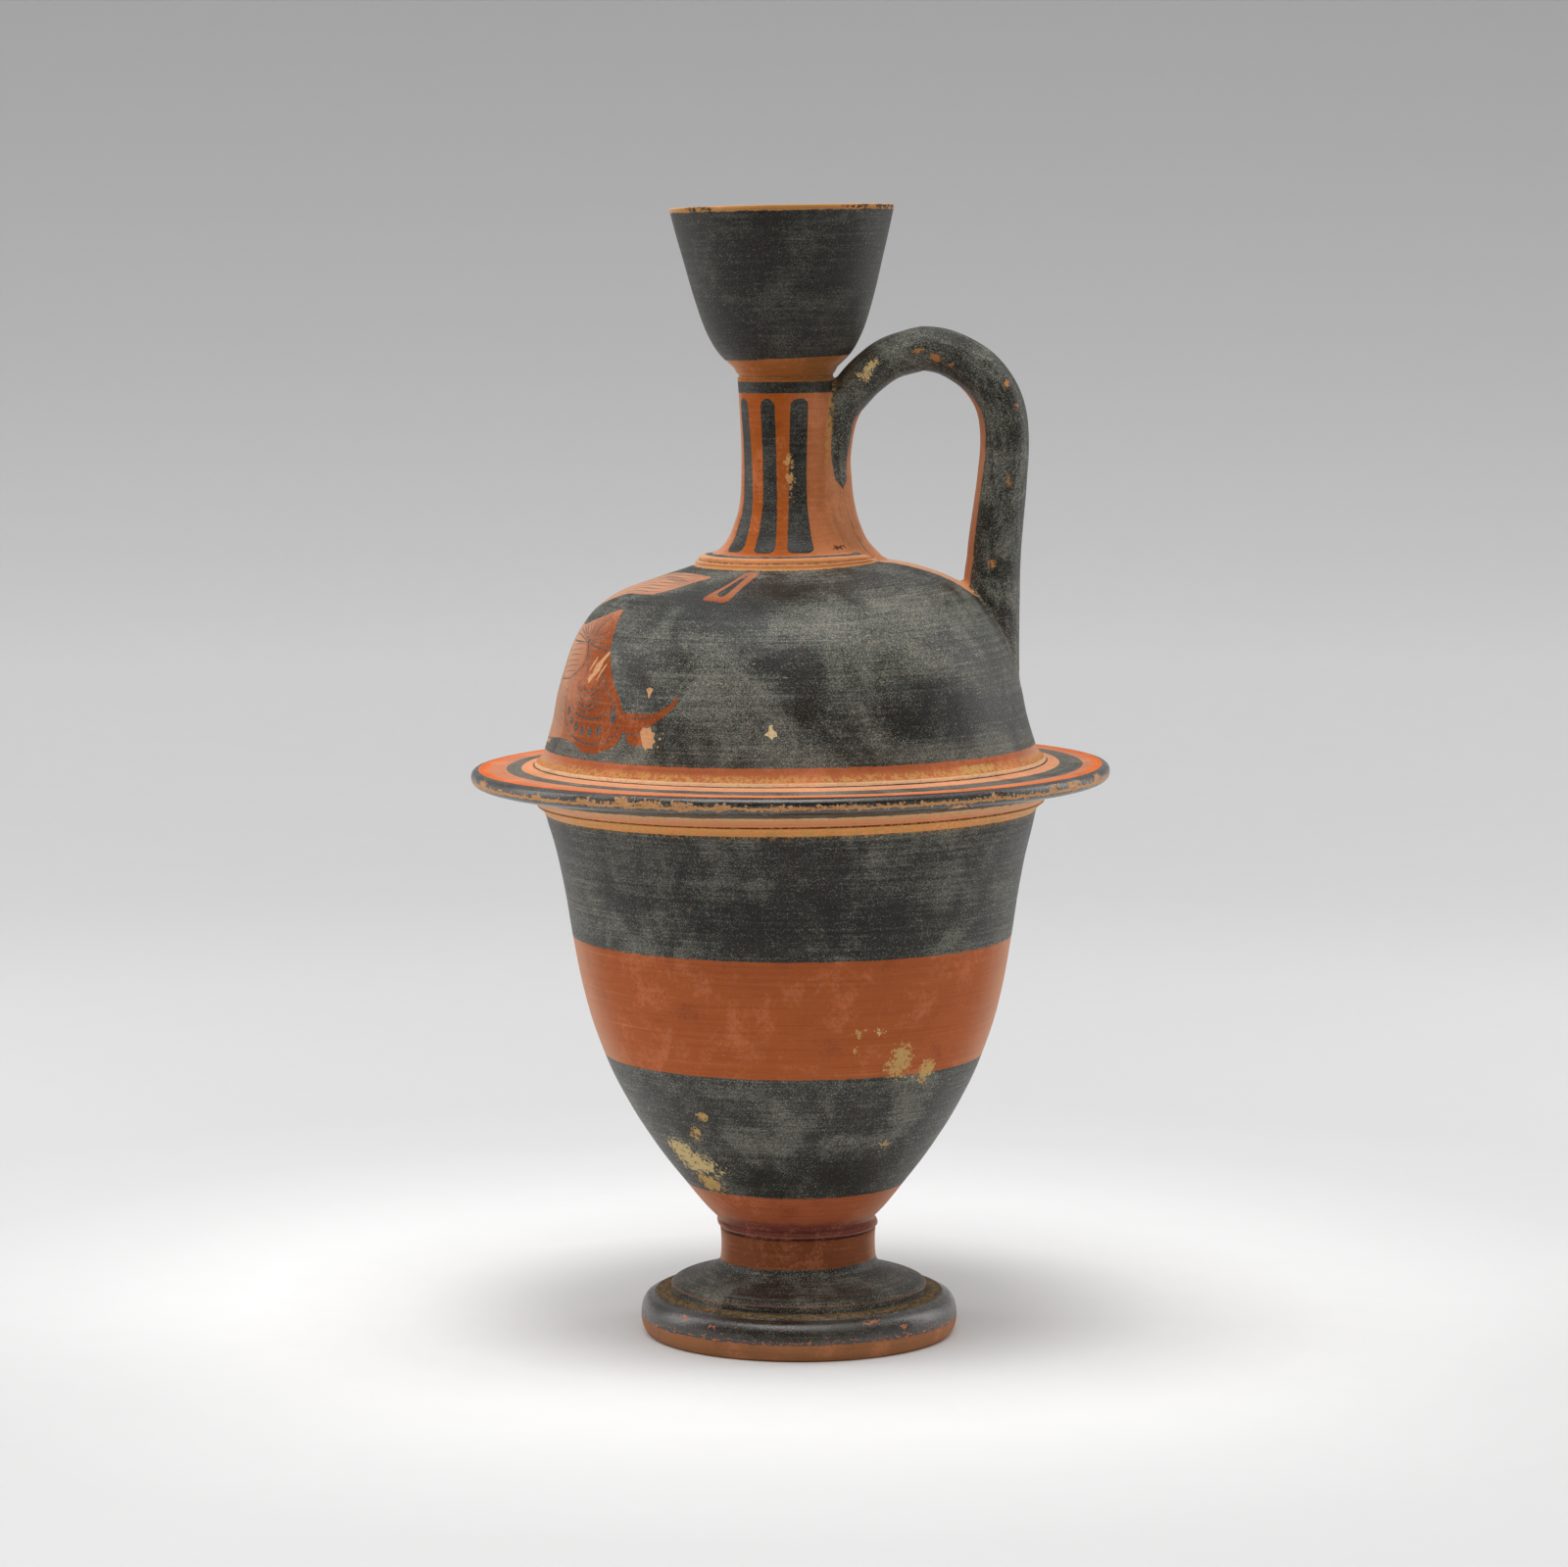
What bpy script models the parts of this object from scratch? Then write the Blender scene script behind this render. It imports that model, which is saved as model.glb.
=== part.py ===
"""A red-figure lekythos: a footed oil flask of fired clay, thrown and turned, with a wide flange
around its belly, a tall flaring mouth and one looped handle.

Metres, +Z up. The foot stands on z = 0, the origin lies below the centre of the flange, +X points
to the handle and -X to the painted front. The pot is hollow from the mouth down to its floor.
"""

import math

import bmesh
import bpy

# How finely the turned and the bent shapes are faceted
TURN_STEPS = 44
HANDLE_PATH_POINTS = 32
HANDLE_BEVEL_RESOLUTION = 4

# Heights of the turned profile
HEIGHT = 0.3200
NECK_TOP_Z = 0.2732
NECK_BASE_Z = 0.2224
DOME_TOP_Z = 0.2196
DOME_BASE_Z = 0.1678
FLANGE_Z = 0.1602
BOWL_TOP_Z = 0.1500
BOWL_BASE_Z = 0.0335
COLLAR_Z = 0.0311
STEM_BASE_Z = 0.0222
DISC_Z = 0.0141
LEDGE_Z = 0.0116
TORUS_Z = 0.0060

# Radii of the turned profile
RIM_RADIUS = 0.0318
MOUTH_BASE_RADIUS = 0.0138
NECK_RADIUS = 0.0129
NECK_BASE_RADIUS = 0.0226
NECK_RING_RADIUS = 0.0252
DOME_TOP_RADIUS = 0.0262
DOME_BASE_RADIUS = 0.0692
FLANGE_RADIUS = 0.0905
FLANGE_ROOT_RADIUS = 0.0780
MOULDING_RADIUS = 0.0738
BOWL_TOP_RADIUS = 0.0697
BOWL_BASE_RADIUS = 0.0225
COLLAR_RADIUS = 0.0230
STEM_RADIUS = 0.0222
DISC_RADIUS = 0.0366
LEDGE_RADIUS = 0.0411
TORUS_RADIUS = 0.0452
FOOT_RING_RADIUS = 0.0431
FOOT_RECESS_RADIUS = 0.0350

# Small details of the turning
LIP_WIDTH = 0.0034
LIP_ROUNDING = 0.0008
FLANGE_LIP_THICKNESS = 0.0054
FLANGE_LIP_INSET = 0.0029
FLANGE_SWEEP_RADIUS = 0.0768
FLANGE_SWEEP_RISE = 0.0008
FLANGE_ROOT_DROP = 0.0046
GROOVE_DEPTH = 0.0005
GROOVE_HEIGHT = 0.0006
FOOT_RECESS_DEPTH = 0.0035

# Walls of the hollow
WALL = 0.0055
MOUTH_WALL = 0.0038
NECK_BORE_RADIUS = 0.0068
FLOOR_THICKNESS = 0.0070
CUTTER_OVERSHOOT = 0.0100

# The pot was set up by eye: its axis leans away from the handle, the mouth more so, the foot is
# a little off centre, and the rings above the bowl lie at a slant, higher on the handle's side
LEAN = 0.0120
MOUTH_LEAN = 0.0250
FOOT_OFFSET = 0.0006
UPPER_SLANT = 0.0100
RIM_SLANT = 0.0200
SLANT_BLEND_HEIGHT = 0.0080

# The shoulder swells below the handle
SHOULDER_SWELL = 0.0028
SWELL_NEAR_NECK = 0.6

# The handle's centre line, in its own plane
HANDLE_TAIL_BASE_Z = 0.2205
HANDLE_NECK_Z = 0.2500
HANDLE_TOP_Z = 0.2800
HANDLE_OUTER_X = 0.0614
HANDLE_OUTER_Z = 0.2530
HANDLE_ROOT_X = 0.0576
HANDLE_ROOT_Z = 0.2080
HANDLE_END_X = 0.0612
HANDLE_END_Z = 0.1780

# The handle's thickness in that plane, how far its tail stands off the neck, and its width across
HANDLE_TAIL_THICKNESS = 0.0112
HANDLE_TAIL_PROUD = 0.0052
HANDLE_TOP_THICKNESS = 0.0124
HANDLE_OUTER_THICKNESS = 0.0139
HANDLE_ROOT_THICKNESS = 0.0152
HANDLE_END_THICKNESS = 0.0080
HANDLE_WIDENING = 1.15

# Free curves of the profile, each from its lower end up: share of its height, share of its growth
BOWL_SHAPE = (
    (0.0, 0.0), (0.045, 0.105), (0.19, 0.38), (0.34, 0.595), (0.485, 0.735), (0.63, 0.82),
    (0.85, 0.91), (1.0, 1.0),
)
DOME_SHAPE = (
    (0.0, 1.0), (0.17, 0.95), (0.33, 0.91), (0.54, 0.828), (0.67, 0.748), (0.77, 0.65),
    (0.862, 0.485), (0.926, 0.262), (1.0, 0.0),
)
NECK_SHAPE = (
    (0.0, 1.0), (0.028, 0.68), (0.085, 0.43), (0.165, 0.24), (0.27, 0.08), (0.40, 0.01),
    (0.64, 0.0), (1.0, 0.08),
)
MOUTH_SHAPE = (
    (0.0, 0.0), (0.035, 0.05), (0.10, 0.24), (0.19, 0.39), (0.35, 0.56), (0.64, 0.766), (1.0, 1.0),
)
FOOT_SHAPE = ((0.0, 1.0), (0.15, 0.82), (0.30, 0.52), (0.50, 0.22), (0.75, 0.045), (1.0, 0.0))

# The handle's loop from the neck to its top and on towards its outermost point: share of its
# reach, share of its rise; and its descent to the root: share of its fall, share of its way in
LOOP_RISE_SHAPE = (
    (0.0, 0.0), (0.028, 0.30), (0.07, 0.49), (0.127, 0.611), (0.206, 0.747), (0.334, 0.901),
    (0.482, 0.98),
)
LOOP_FALL_SHAPE = ((0.553, 1.0), (0.684, 0.957), (0.837, 0.81), (0.937, 0.607), (0.988, 0.383))
DESCENT_SHAPE = ((0.0, 0.0), (0.22, 0.24), (0.47, 0.58), (0.69, 0.84), (1.0, 1.0))
TAIL_STATIONS = 5

SLIP_COLOUR = (0.055, 0.056, 0.052, 1.0)
SLIP_ROUGHNESS = 0.48
SHARP_ANGLE = 35.0
POINT_SPACING = 0.00005


def clear_scene():
    for obj in list(bpy.data.objects):
        bpy.data.objects.remove(obj, do_unlink=True)


def make_collection(name):
    collection = bpy.data.collections.new(name)
    bpy.context.scene.collection.children.link(collection)
    return collection


def blend(start, end, share):
    return start + (end - start) * share


def smooth_step(value):
    """0 below 0 and 1 above 1, with a soft rise between them."""
    t = min(max(value, 0.0), 1.0)
    return t * t * (3.0 - 2.0 * t)


def catmull_rom(points, per_span):
    """Points on a smooth curve through the given points, of any dimension, with both ends kept."""
    before_first = [2 * a - b for a, b in zip(points[0], points[1])]
    after_last = [2 * a - b for a, b in zip(points[-1], points[-2])]
    guided = [before_first, *points, after_last]
    curve = []
    for i in range(1, len(guided) - 2):
        for step in range(per_span):
            t = step / per_span
            curve.append(
                tuple(
                    0.5 * (2 * b + (c - a) * t + (2 * a - 5 * b + 4 * c - d) * t**2
                           + (3 * b - a - 3 * c + d) * t**3)
                    for a, b, c, d in zip(*guided[i - 1 : i + 3])
                )
            )
    curve.append(tuple(points[-1]))
    return curve


def shaped(shape, base_z, top_z, narrow_radius, wide_radius):
    """A free curve from its shares, as (radius, height) points from the bottom up."""
    return [
        (blend(narrow_radius, wide_radius, growth), blend(base_z, top_z, rise))
        for rise, growth in shape
    ]


def arc(centre, radii, start, end, steps):
    """Points on an elliptical arc, angles in degrees, from start to end with both ends kept."""
    angles = [math.radians(blend(start, end, i / steps)) for i in range(steps + 1)]
    return [(centre[0] + radii[0] * math.cos(a), centre[1] + radii[1] * math.sin(a)) for a in angles]


def foot_underside():
    """The shallow recess under the foot, from its centre out to the ring it stands on."""
    return [
        (0.0, FOOT_RECESS_DEPTH),
        (FOOT_RECESS_RADIUS - FOOT_RECESS_DEPTH, FOOT_RECESS_DEPTH),
        (FOOT_RECESS_RADIUS, 0.0),
    ]


def foot_outer():
    """The foot: a torus, a ledge, a sharp-edged disc and a sweep up to the stem."""
    ring = (FOOT_RING_RADIUS, 0.0)
    lower_radii = (TORUS_RADIUS - FOOT_RING_RADIUS, TORUS_Z)
    upper_radii = (TORUS_RADIUS - LEDGE_RADIUS, LEDGE_Z - TORUS_Z)
    lower_bulge = arc((FOOT_RING_RADIUS, TORUS_Z), lower_radii, -50, 0, 2)
    upper_bulge = arc((LEDGE_RADIUS, TORUS_Z), upper_radii, 35, 90, 2)
    riser = (DISC_RADIUS, LEDGE_Z + GROOVE_HEIGHT)
    edge = (DISC_RADIUS, DISC_Z)
    disc_top_z = DISC_Z + GROOVE_HEIGHT
    sweep = shaped(FOOT_SHAPE, disc_top_z, STEM_BASE_Z, STEM_RADIUS, DISC_RADIUS - GROOVE_DEPTH)
    return [ring, *lower_bulge, *upper_bulge, riser, edge, *sweep]


def collar():
    """The groove and the bead where the bowl was set on its stem."""
    return [
        (STEM_RADIUS, COLLAR_Z - GROOVE_HEIGHT * 2),
        (COLLAR_RADIUS, COLLAR_Z),
        (COLLAR_RADIUS, COLLAR_Z + GROOVE_HEIGHT * 2),
        (BOWL_BASE_RADIUS - GROOVE_DEPTH, BOWL_BASE_Z - GROOVE_HEIGHT),
    ]


def bowl_outer():
    """The lower body, from the collar on the foot up to the moulding under the flange."""
    return shaped(BOWL_SHAPE, BOWL_BASE_Z, BOWL_TOP_Z, BOWL_BASE_RADIUS, BOWL_TOP_RADIUS)


def flange_outer():
    """The flange, from the moulding over the bowl out round the lip and back in to the dome."""
    half = FLANGE_LIP_THICKNESS / 2
    lip_radius = FLANGE_RADIUS - FLANGE_LIP_INSET
    root_z = FLANGE_Z - FLANGE_ROOT_DROP
    groove_z = (root_z + BOWL_TOP_Z) / 2
    sweep_foot_z = FLANGE_Z + half + FLANGE_SWEEP_RISE
    sweep_radii = (DOME_BASE_RADIUS - FLANGE_SWEEP_RADIUS, sweep_foot_z - DOME_BASE_Z)
    underside = [
        (MOULDING_RADIUS - GROOVE_DEPTH, groove_z),
        (MOULDING_RADIUS, groove_z + GROOVE_HEIGHT),
        (FLANGE_ROOT_RADIUS, root_z),
    ]
    lip = arc((lip_radius, FLANGE_Z), (FLANGE_LIP_INSET, half), -90, 90, 6)
    sweep = arc((FLANGE_SWEEP_RADIUS, DOME_BASE_Z), sweep_radii, 90, 30, 2)
    return [*underside, *lip, *sweep]


def dome_outer():
    """The shoulder, from the flange's root up to the neck ring."""
    return shaped(DOME_SHAPE, DOME_BASE_Z, DOME_TOP_Z, DOME_TOP_RADIUS, DOME_BASE_RADIUS)


def neck_ring():
    """The double fillet around the neck's base, from the dome up to the neck."""
    middle_z = (DOME_TOP_Z + NECK_BASE_Z) / 2
    return [
        (NECK_RING_RADIUS, middle_z - GROOVE_HEIGHT),
        (NECK_RING_RADIUS - GROOVE_DEPTH, middle_z),
        (NECK_RING_RADIUS, middle_z + GROOVE_HEIGHT / 2),
    ]


def neck_outer():
    """The neck, from its base up to the groove below the mouth."""
    groove_z = NECK_TOP_Z - GROOVE_HEIGHT
    flank = shaped(NECK_SHAPE, NECK_BASE_Z, groove_z - GROOVE_HEIGHT, NECK_RADIUS, NECK_BASE_RADIUS)
    return [*flank, (MOUTH_BASE_RADIUS - GROOVE_DEPTH, groove_z)]


def mouth_outer():
    """The mouth's flaring wall, from the neck's top up to the lip."""
    lip_z = HEIGHT - LIP_ROUNDING
    return shaped(MOUTH_SHAPE, NECK_TOP_Z, lip_z, MOUTH_BASE_RADIUS, RIM_RADIUS)


def outer_profile():
    """The whole outside as (radius, height) points, from the axis under the foot up to the axis
    at the rim's height."""
    lip_centre = (RIM_RADIUS - LIP_ROUNDING, HEIGHT - LIP_ROUNDING)
    lip = arc(lip_centre, (LIP_ROUNDING, LIP_ROUNDING), 30, 90, 2)
    return [
        *foot_underside(),
        *foot_outer(),
        *collar(),
        *bowl_outer(),
        *flange_outer(),
        *dome_outer(),
        *neck_ring(),
        *neck_outer(),
        *mouth_outer()[:-1],
        *lip,
        (0.0, HEIGHT),
    ]


def offset_inward(points, distance):
    """The points moved square to their curve, towards the hollow."""
    moved = []
    for i, (radius, height) in enumerate(points):
        before = points[max(i - 1, 0)]
        after = points[min(i + 1, len(points) - 1)]
        along_r = after[0] - before[0]
        along_z = after[1] - before[1]
        length = math.hypot(along_r, along_z)
        moved.append((radius - distance * along_z / length, height + distance * along_r / length))
    return moved


def cavity_profile():
    """The hollow as (radius, height) points, from the middle of the floor up through the mouth."""
    floor_z = BOWL_BASE_Z + FLOOR_THICKNESS
    bowl_wall = [p for p in offset_inward(bowl_outer(), WALL) if p[1] > floor_z]
    dome_wall = [p for p in offset_inward(dome_outer(), WALL) if p[0] > NECK_BORE_RADIUS + WALL]
    mouth_wall = [
        p for p in offset_inward(mouth_outer()[:-1], MOUTH_WALL)
        if p[0] > NECK_BORE_RADIUS and p[1] > NECK_TOP_Z
    ]
    lip_inner = RIM_RADIUS - LIP_WIDTH
    return [
        (0.0, floor_z),
        (bowl_wall[0][0] - WALL, floor_z + LIP_ROUNDING),
        *bowl_wall,
        *dome_wall,
        (NECK_BORE_RADIUS, NECK_BASE_Z - WALL / 2),
        (NECK_BORE_RADIUS, NECK_TOP_Z),
        *mouth_wall,
        (lip_inner, HEIGHT - LIP_ROUNDING),
        (lip_inner + LIP_ROUNDING, HEIGHT + GROOVE_HEIGHT),
        (lip_inner + LIP_ROUNDING, HEIGHT + CUTTER_OVERSHOOT),
        (0.0, HEIGHT + CUTTER_OVERSHOOT),
    ]


def evaluated_copy(source, name, collection):
    """A plain mesh object with the source's modifiers or bevel applied, in place of the source."""
    graph = bpy.context.evaluated_depsgraph_get()
    mesh = bpy.data.meshes.new_from_object(source.evaluated_get(graph))
    copy = bpy.data.objects.new(name, mesh)
    copy.matrix_world = source.matrix_world
    collection.objects.link(copy)
    bpy.data.objects.remove(source, do_unlink=True)
    return copy


def turned(name, profile, collection):
    """A solid of revolution from (radius, height) points that run up its outer side."""
    mesh = bpy.data.meshes.new(name)
    points = [(radius, 0.0, height) for radius, height in reversed(profile)]
    mesh.from_pydata(points, [(i, i + 1) for i in range(len(points) - 1)], [])
    blank = bpy.data.objects.new(name + "_blank", mesh)
    collection.objects.link(blank)
    screw = blank.modifiers.new("Turn", "SCREW")
    screw.steps = TURN_STEPS
    screw.render_steps = TURN_STEPS
    screw.use_merge_vertices = True
    screw.merge_threshold = POINT_SPACING
    bpy.context.view_layer.update()
    return evaluated_copy(blank, name, collection)


def neck_radius_at(height):
    """The neck's outer radius at a height, read off its profile."""
    flank = neck_outer()
    for (low_r, low_z), (high_r, high_z) in zip(flank, flank[1:]):
        if height <= high_z:
            return blend(low_r, high_r, max(height - low_z, 0.0) / (high_z - low_z))
    return flank[-1][0]


def handle_stations():
    """The handle's centre line and thickness, as (distance from the axis, height, thickness), from
    the tail down the neck, over the loop, to the end in the shoulder's wall."""
    heights = [
        blend(HANDLE_TAIL_BASE_Z, HANDLE_NECK_Z, i / TAIL_STATIONS) for i in range(TAIL_STATIONS)
    ]
    tail_skin = [(neck_radius_at(height) + HANDLE_TAIL_PROUD, height) for height in heights]
    tail_core = offset_inward(tail_skin, HANDLE_TAIL_THICKNESS / 2)
    tail = [(across, height, HANDLE_TAIL_THICKNESS) for across, height in tail_core]
    loop_start = neck_radius_at(HANDLE_NECK_Z) + HANDLE_TAIL_PROUD - HANDLE_TAIL_THICKNESS / 2
    top_reach = LOOP_FALL_SHAPE[0][0]
    loop = []
    for reach, rise in (*LOOP_RISE_SHAPE, *LOOP_FALL_SHAPE):
        thickness = blend(HANDLE_TAIL_THICKNESS, HANDLE_TOP_THICKNESS, reach / top_reach)
        if reach > top_reach:
            outward = (reach - top_reach) / (1.0 - top_reach)
            thickness = blend(HANDLE_TOP_THICKNESS, HANDLE_OUTER_THICKNESS, outward)
        across = blend(loop_start, HANDLE_OUTER_X, reach)
        loop.append((across, blend(HANDLE_NECK_Z, HANDLE_TOP_Z, rise), thickness))
    descent = [
        (
            blend(HANDLE_OUTER_X, HANDLE_ROOT_X, inward),
            blend(HANDLE_OUTER_Z, HANDLE_ROOT_Z, fall),
            blend(HANDLE_OUTER_THICKNESS, HANDLE_ROOT_THICKNESS, inward),
        )
        for fall, inward in DESCENT_SHAPE
    ]
    end = (HANDLE_END_X, HANDLE_END_Z, HANDLE_END_THICKNESS)
    return [*tail, *loop, *descent, end]


def bent_handle(name, collection):
    """The handle as a tapering rod that is a little wider across its plane than in it."""
    path = catmull_rom(handle_stations(), 4)
    last = HANDLE_PATH_POINTS - 1
    kept = [path[round(i * (len(path) - 1) / last)] for i in range(HANDLE_PATH_POINTS)]
    curve = bpy.data.curves.new(name, "CURVE")
    curve.dimensions = "3D"
    curve.bevel_depth = 1.0
    curve.bevel_resolution = HANDLE_BEVEL_RESOLUTION
    curve.use_fill_caps = True
    spline = curve.splines.new("POLY")
    spline.points.add(len(kept) - 1)
    for point, (across, height, thickness) in zip(spline.points, kept):
        point.co = (across, 0.0, height, 1.0)
        point.radius = thickness / 2
    rod = bpy.data.objects.new(name + "_path", curve)
    collection.objects.link(rod)
    bpy.context.view_layer.update()
    handle = evaluated_copy(rod, name, collection)
    shape = bmesh.new()
    shape.from_mesh(handle.data)
    bmesh.ops.remove_doubles(shape, verts=shape.verts, dist=POINT_SPACING)
    bmesh.ops.scale(shape, vec=(1.0, HANDLE_WIDENING, 1.0), verts=shape.verts)
    bmesh.ops.recalc_face_normals(shape, faces=shape.faces)
    shape.to_mesh(handle.data)
    shape.free()
    return handle


def axis_shift(height):
    """How far the pot's axis lies towards the handle at a height."""
    foot_share = 1.0 - smooth_step((height - COLLAR_Z) / (BOWL_BASE_Z - COLLAR_Z))
    mouth_height = max(height - NECK_TOP_Z, 0.0)
    lean = LEAN * (FLANGE_Z - height) - (MOUTH_LEAN - LEAN) * mouth_height
    return lean + FOOT_OFFSET * foot_share


def ring_slant(height):
    """How steeply a ring of the pot rises towards the handle at a height."""
    upper = smooth_step((height - BOWL_TOP_Z + SLANT_BLEND_HEIGHT) / SLANT_BLEND_HEIGHT)
    mouth = max(height - NECK_TOP_Z, 0.0) / (HEIGHT - NECK_TOP_Z)
    return blend(UPPER_SLANT * upper, RIM_SLANT, mouth)


def shoulder_swell(point):
    """How far the shoulder stands up below the handle at a point of the dome or of its hollow."""
    radius = math.hypot(point.x, point.y)
    if point.x <= 0.0 or not DOME_BASE_Z < point.z < NECK_BASE_Z:
        return 0.0
    outward = (radius - NECK_RING_RADIUS) / (DOME_BASE_RADIUS - NECK_RING_RADIUS)
    share = min(max(outward, 0.0), 1.0) ** SWELL_NEAR_NECK
    return SHOULDER_SWELL * (point.x / radius) ** 2 * math.sin(math.pi * share)


def settle(obj, swells):
    """Moves a true solid to the leaning, slanting shape that the potter left."""
    for vertex in obj.data.vertices:
        point = vertex.co.copy()
        if swells:
            vertex.co.z += shoulder_swell(point)
            vertex.co.z += ring_slant(point.z) * point.x
        vertex.co.x += axis_shift(point.z)


def boolean(target, tool, operation):
    modifier = target.modifiers.new(operation.title(), "BOOLEAN")
    modifier.operation = operation
    modifier.solver = "EXACT"
    modifier.object = tool
    tool.hide_render = True
    tool.display_type = "WIRE"


def slip_material():
    material = bpy.data.materials.new("black_slip_on_clay")
    material.use_nodes = True
    shader = material.node_tree.nodes["Principled BSDF"]
    shader.inputs["Base Color"].default_value = SLIP_COLOUR
    shader.inputs["Roughness"].default_value = SLIP_ROUGHNESS
    shader.inputs["Metallic"].default_value = 0.0
    return material


def build():
    clear_scene()
    pot_collection = make_collection("red_figure_lekythos")
    tools = make_collection("cutters")
    pot = turned("lekythos", outer_profile(), pot_collection)
    cavity = turned("cavity", cavity_profile(), tools)
    handle = bent_handle("handle_rod", tools)
    settle(pot, True)
    settle(cavity, True)
    settle(handle, False)
    boolean(pot, handle, "UNION")
    boolean(pot, cavity, "DIFFERENCE")
    pot.data.materials.append(slip_material())
    pot.data.shade_smooth()
    pot.data.set_sharp_from_angle(angle=math.radians(SHARP_ANGLE))


build()
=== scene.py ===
"""The red-figure lekythos as it is in the photograph, standing on a plain pale sweep in soft light.

Shapes are worked out in millimetres and turned to metres when a mesh is made. A place on the pot is
given by its heading (degrees from -X, towards -Y) and by how far along the profile it lies.
"""
import math

import bmesh
import bpy
import numpy as np
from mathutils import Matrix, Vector
from mathutils.geometry import delaunay_2d_cdt
from mathutils.kdtree import KDTree


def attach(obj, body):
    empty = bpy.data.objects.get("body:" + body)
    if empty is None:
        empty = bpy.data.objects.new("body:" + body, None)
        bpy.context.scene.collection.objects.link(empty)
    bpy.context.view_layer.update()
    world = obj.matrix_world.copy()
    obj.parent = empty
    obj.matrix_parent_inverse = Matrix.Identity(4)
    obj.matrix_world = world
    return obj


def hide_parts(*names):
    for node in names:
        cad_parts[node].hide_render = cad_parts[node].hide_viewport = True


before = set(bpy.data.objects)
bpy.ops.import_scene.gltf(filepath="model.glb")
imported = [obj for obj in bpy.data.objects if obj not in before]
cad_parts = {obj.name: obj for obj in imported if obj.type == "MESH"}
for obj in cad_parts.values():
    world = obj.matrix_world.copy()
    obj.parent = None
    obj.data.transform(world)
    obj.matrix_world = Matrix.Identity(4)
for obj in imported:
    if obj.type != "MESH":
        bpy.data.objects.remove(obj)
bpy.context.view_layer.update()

MM = 0.001
DOME_STEPS = 240
TRIMMER_STEPS = 96
ROD_STEPS = 40
# How finely curves are followed: steps to a span of them, and millimetres between points
CURVE_STEPS = 24
DENSE_SPACING = 0.08
ROD_PATH_SPACING = 0.35
# Spacings of the rings where the profile turns sharply, gently and hardly at all
FINE = 0.35
MEDIUM = 0.8
COARSE = 1.7

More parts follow.
